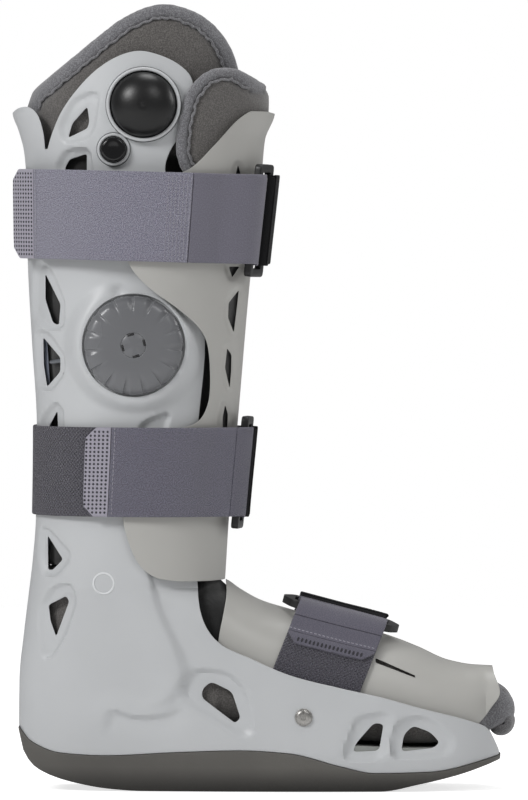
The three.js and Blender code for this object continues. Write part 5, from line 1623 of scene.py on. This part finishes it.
def strap(name, surface, plan, bodies, finishes):
    """A strap on its ring: the free end comes through the ring, folds round the lateral bar and lies back."""
    lead_body, tail_body, ring_body = bodies
    base = math.radians(plan["ring"])
    facing = surface_frame(surface, base)
    centre = facing["at"] + facing["normal"] * BAR_HEIGHT
    lateral, medial = (centre + facing["medial"] * (side * RING_SPAN / 2) for side in (-1, 1))
    turn = math.radians(40)
    lateral_height, lateral_angle = nearest_angle(surface, lateral, base - turn, base)
    medial_height, medial_angle = nearest_angle(surface, medial, base, base + turn)
    per_mm = 1e-3 / (surface(lateral_angle, 0, 2) - surface(lateral_angle - 1e-3, 0, 2)).length
    gap = SEAM_GAP * per_mm

    def over(angle):
        degrees = -math.degrees(angle)
        from_bar = 1 - math.degrees(lateral_angle)
        down = ease((degrees - from_bar) / (plan["landed"] - from_bar))
        past = max(0.0, degrees - plan.get("stand_off", 999))
        return lerp(lateral_height + FOLD_INNER, STRAP_OVER, down) + plan.get("lift", 0) * past * past

    keeper_end = medial_angle + math.radians(plan["keeper"])

    def held(angle):
        first, last = medial_angle + math.radians(4), keeper_end - math.radians(6)
        return lerp(medial_height + FOLD_INNER, STRAP_OVER, ease((angle - first) / (last - first)))

    def square(angle):
        normal = surface_frame(surface, angle)["normal"]
        normal = (normal - facing["upright"] * normal.dot(facing["upright"])).normalized()
        return {"medial": facing["upright"].cross(normal), "upright": facing["upright"], "normal": normal}

    seam, tab, end = (-math.radians(plan[key]) for key in ("seam", "tab", "end"))
    smooth, pile, hooks = finishes
    lead = joined([
        webbing(surface, lateral_angle + 1.2 * per_mm, seam + gap / 2, over),
        in_frame(fold_round_bar(-88, 92), square(lateral_angle), lateral),
    ])
    piece(name + "_lead_web", lead, smooth, lead_body, [name + "_lead"], 50)
    tail = webbing(surface, seam - gap * 0.9, tab + gap / 2, over)
    piece(name + "_tail_web", tail, pile, tail_body, [name + "_tail"], 50)
    hook = webbing(surface, tab - gap / 2, end, over, corner=plan["corner"])
    piece(name + "_hook_tape", hook, hooks, tail_body, [name + "_hook_tab"], 50)
    dots = hook_dots(surface, tab - 1.2 * gap, end, over, plan["corner"], stretch=plan.get("dimple_stretch", 1.0))
    piece(name + "_hook_dots", dots, hook_studs, tail_body, (), 40)
    rows_of_thread = stitches(surface, tab + 2.2 * per_mm, over(tab) + WEBBING + 0.08, -24, 24)
    if plan.get("seam_rows"):
        for along in plan["seam_rows"]:
            angle = seam - along * per_mm
            rows_of_thread += stitches(surface, angle, over(angle) + WEBBING + 0.06, -24, 24, 2.0)
    piece(name + "_tail_stitches", joined(rows_of_thread), stitch_thread, tail_body, (), 50)
    ring = in_frame(ring_loop(plan.get("pointed", False)), facing, centre)
    piece(name + "_ring_loop", ring, black_plastic, ring_body, [name + "_ring"], 40)
    keeper = joined([
        webbing(surface, medial_angle - 1.2 * per_mm, keeper_end, held),
        in_frame(fold_round_bar(88, 272), square(medial_angle), medial),
    ])
    piece(name + "_keeper_web", keeper, keeper_web, ring_body, [name + "_ring_keeper"], 50)
    box_rows = stitches(surface, keeper_end - 3 * per_mm, held(keeper_end) + WEBBING + 0.06, -23, 23)
    box_rows += stitches(surface, keeper_end - 12 * per_mm, held(keeper_end - 12 * per_mm) + WEBBING + 0.06, -23, 23)
    piece(name + "_keeper_stitches", joined(box_rows), stitch_thread, ring_body, (), 50)
    return lateral_angle, medial_angle, per_mm


def hook_stud_finish():
    made, r, shader = finish("hook_studs", 0.6)
    place = r.add("ShaderNodeTexCoord", out="Object")
    flecks = r.noise(place, 900.0, 2.0)
    link(r, r.mix(flecks, tone(26, 25, 31), tone(46, 44, 53)), shader, "Base Color")
    return made


hook_studs = hook_stud_finish()
LEG_STRAPS = {
    "upper_strap": (
        (328, 1.8),
        {"ring": -22, "landed": 52, "seam": 66, "tab": 147, "end": 163, "stand_off": 120, "lift": 0.0033,
         "keeper": 26, "corner": 6.4, "seam_rows": (1.2, 3.4, 5.6, 7.8, 10, 12.2, 14.4)},
    ),
    "lower_strap": (
        (182.5, 0.4),
        {"ring": -10, "landed": 46, "seam": 30, "tab": 103, "end": 117.6, "keeper": 28, "corner": 6.4},
    ),
}
for name, ((middle, tilt), plan) in LEG_STRAPS.items():
    surface = leg_surface(middle, tilt)
    prefix = name.split("_")[0]
    bodies = (prefix + "_lead", prefix + "_tail", "front_panel")
    smooth = webbing_smooth if prefix == "upper" else webbing_pile
    # The upper strap's pile takes the lighter copy, which paints in the light it catches.
    lateral_angle, medial_angle, per_mm = strap(
        name, surface, plan, bodies, (smooth, upper_pile_painted_light if prefix == "upper" else webbing_pile, hook_cloth)
    )
    clear = (FOLD_OUTER + 0.8) * per_mm
    band = webbing(surface, lateral_angle - clear, medial_angle + clear - 2 * math.pi, lambda angle: 0)
    made = piece(name + "_band_pile", band, dark_pile, None, [name + "_band"], 50)
    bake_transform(made)

FOOT_PLAN = {
    "ring": -12, "landed": 52, "seam": 38, "tab": 52, "end": 62, "keeper": 34, "pointed": True, "corner": 6.0,
    "dimple_stretch": 2.2,
}
lateral_angle, medial_angle, per_mm = strap(
    "foot_strap", foot_surface, FOOT_PLAN, ("instep", "foot_tail", "instep"),
    (foot_web, foot_web, foot_web),
)
clear = (FOLD_OUTER + 0.8) * per_mm
for label, start, end in (
    ("lateral", lateral_angle - clear, -math.radians(88)), ("medial", medial_angle + clear, math.radians(88)),
):
    band = webbing(foot_surface, start, end, lambda angle: 0)
    made = piece("foot_strap_" + label + "_pile", band, dark_pile, None, ["foot_strap_" + label], 50)
    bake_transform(made)


def anchor_tongue(side):
    wall = min(tray_half(SCREW[0] + dx, SCREW[1]) for dx in (-9, 13)) - SHELL_WALL - 0.6
    outline = rounded(
        [(SCREW[0] - 8, SCREW[1] - 8), (SCREW[0] - 9, 52), (SCREW[0] + 13, 49), (SCREW[0] + 8, SCREW[1] - 8)], 3
    )
    low, high = (-wall, -wall + WEBBING) if side < 0 else (wall - WEBBING, wall)
    blank = prism(outline, low, high)
    hole = disk(SCREW_HOLE, SCREW, low - 1, high + 1, 32)
    made = with_modifiers(
        blank,
        [
            combine("DIFFERENCE", hole),
            ("BEVEL", {"width": 0.5, "segments": 2, "limit_method": "ANGLE", "angle_limit": math.radians(60)}),
        ],
    )
    cloth = made.loops.layers.uv.new("cloth")
    for face in made.faces:
        for loop in face.loops:
            loop[cloth].uv = (loop.vert.co.x * MILLIMETRE, loop.vert.co.z * MILLIMETRE)
    return made


for side, label in ((-1, "lateral"), (1, "medial")):
    piece(
        "foot_anchor_" + label + "_tongue", anchor_tongue(side), dark_pile, "boot", ["foot_anchor_" + label],
        50,
    )

# ---------------------------------------------------------------- finishes of the nodes that stay
KEPT = {
    black_plastic: ["pump_cup", "check_valve", "release_seat", "valve_body", "valve_rotor"],
    steel: ["foot_nut_lateral", "foot_nut_medial"],
    clear_tube: ["tube_pump", "tube_release", "tube_lateral", "tube_rear", "tube_medial"],
}
for material, names in KEPT.items():
    for name in names:
        mesh = nodes[name].data
        mesh.materials.clear()
        mesh.materials.append(material)
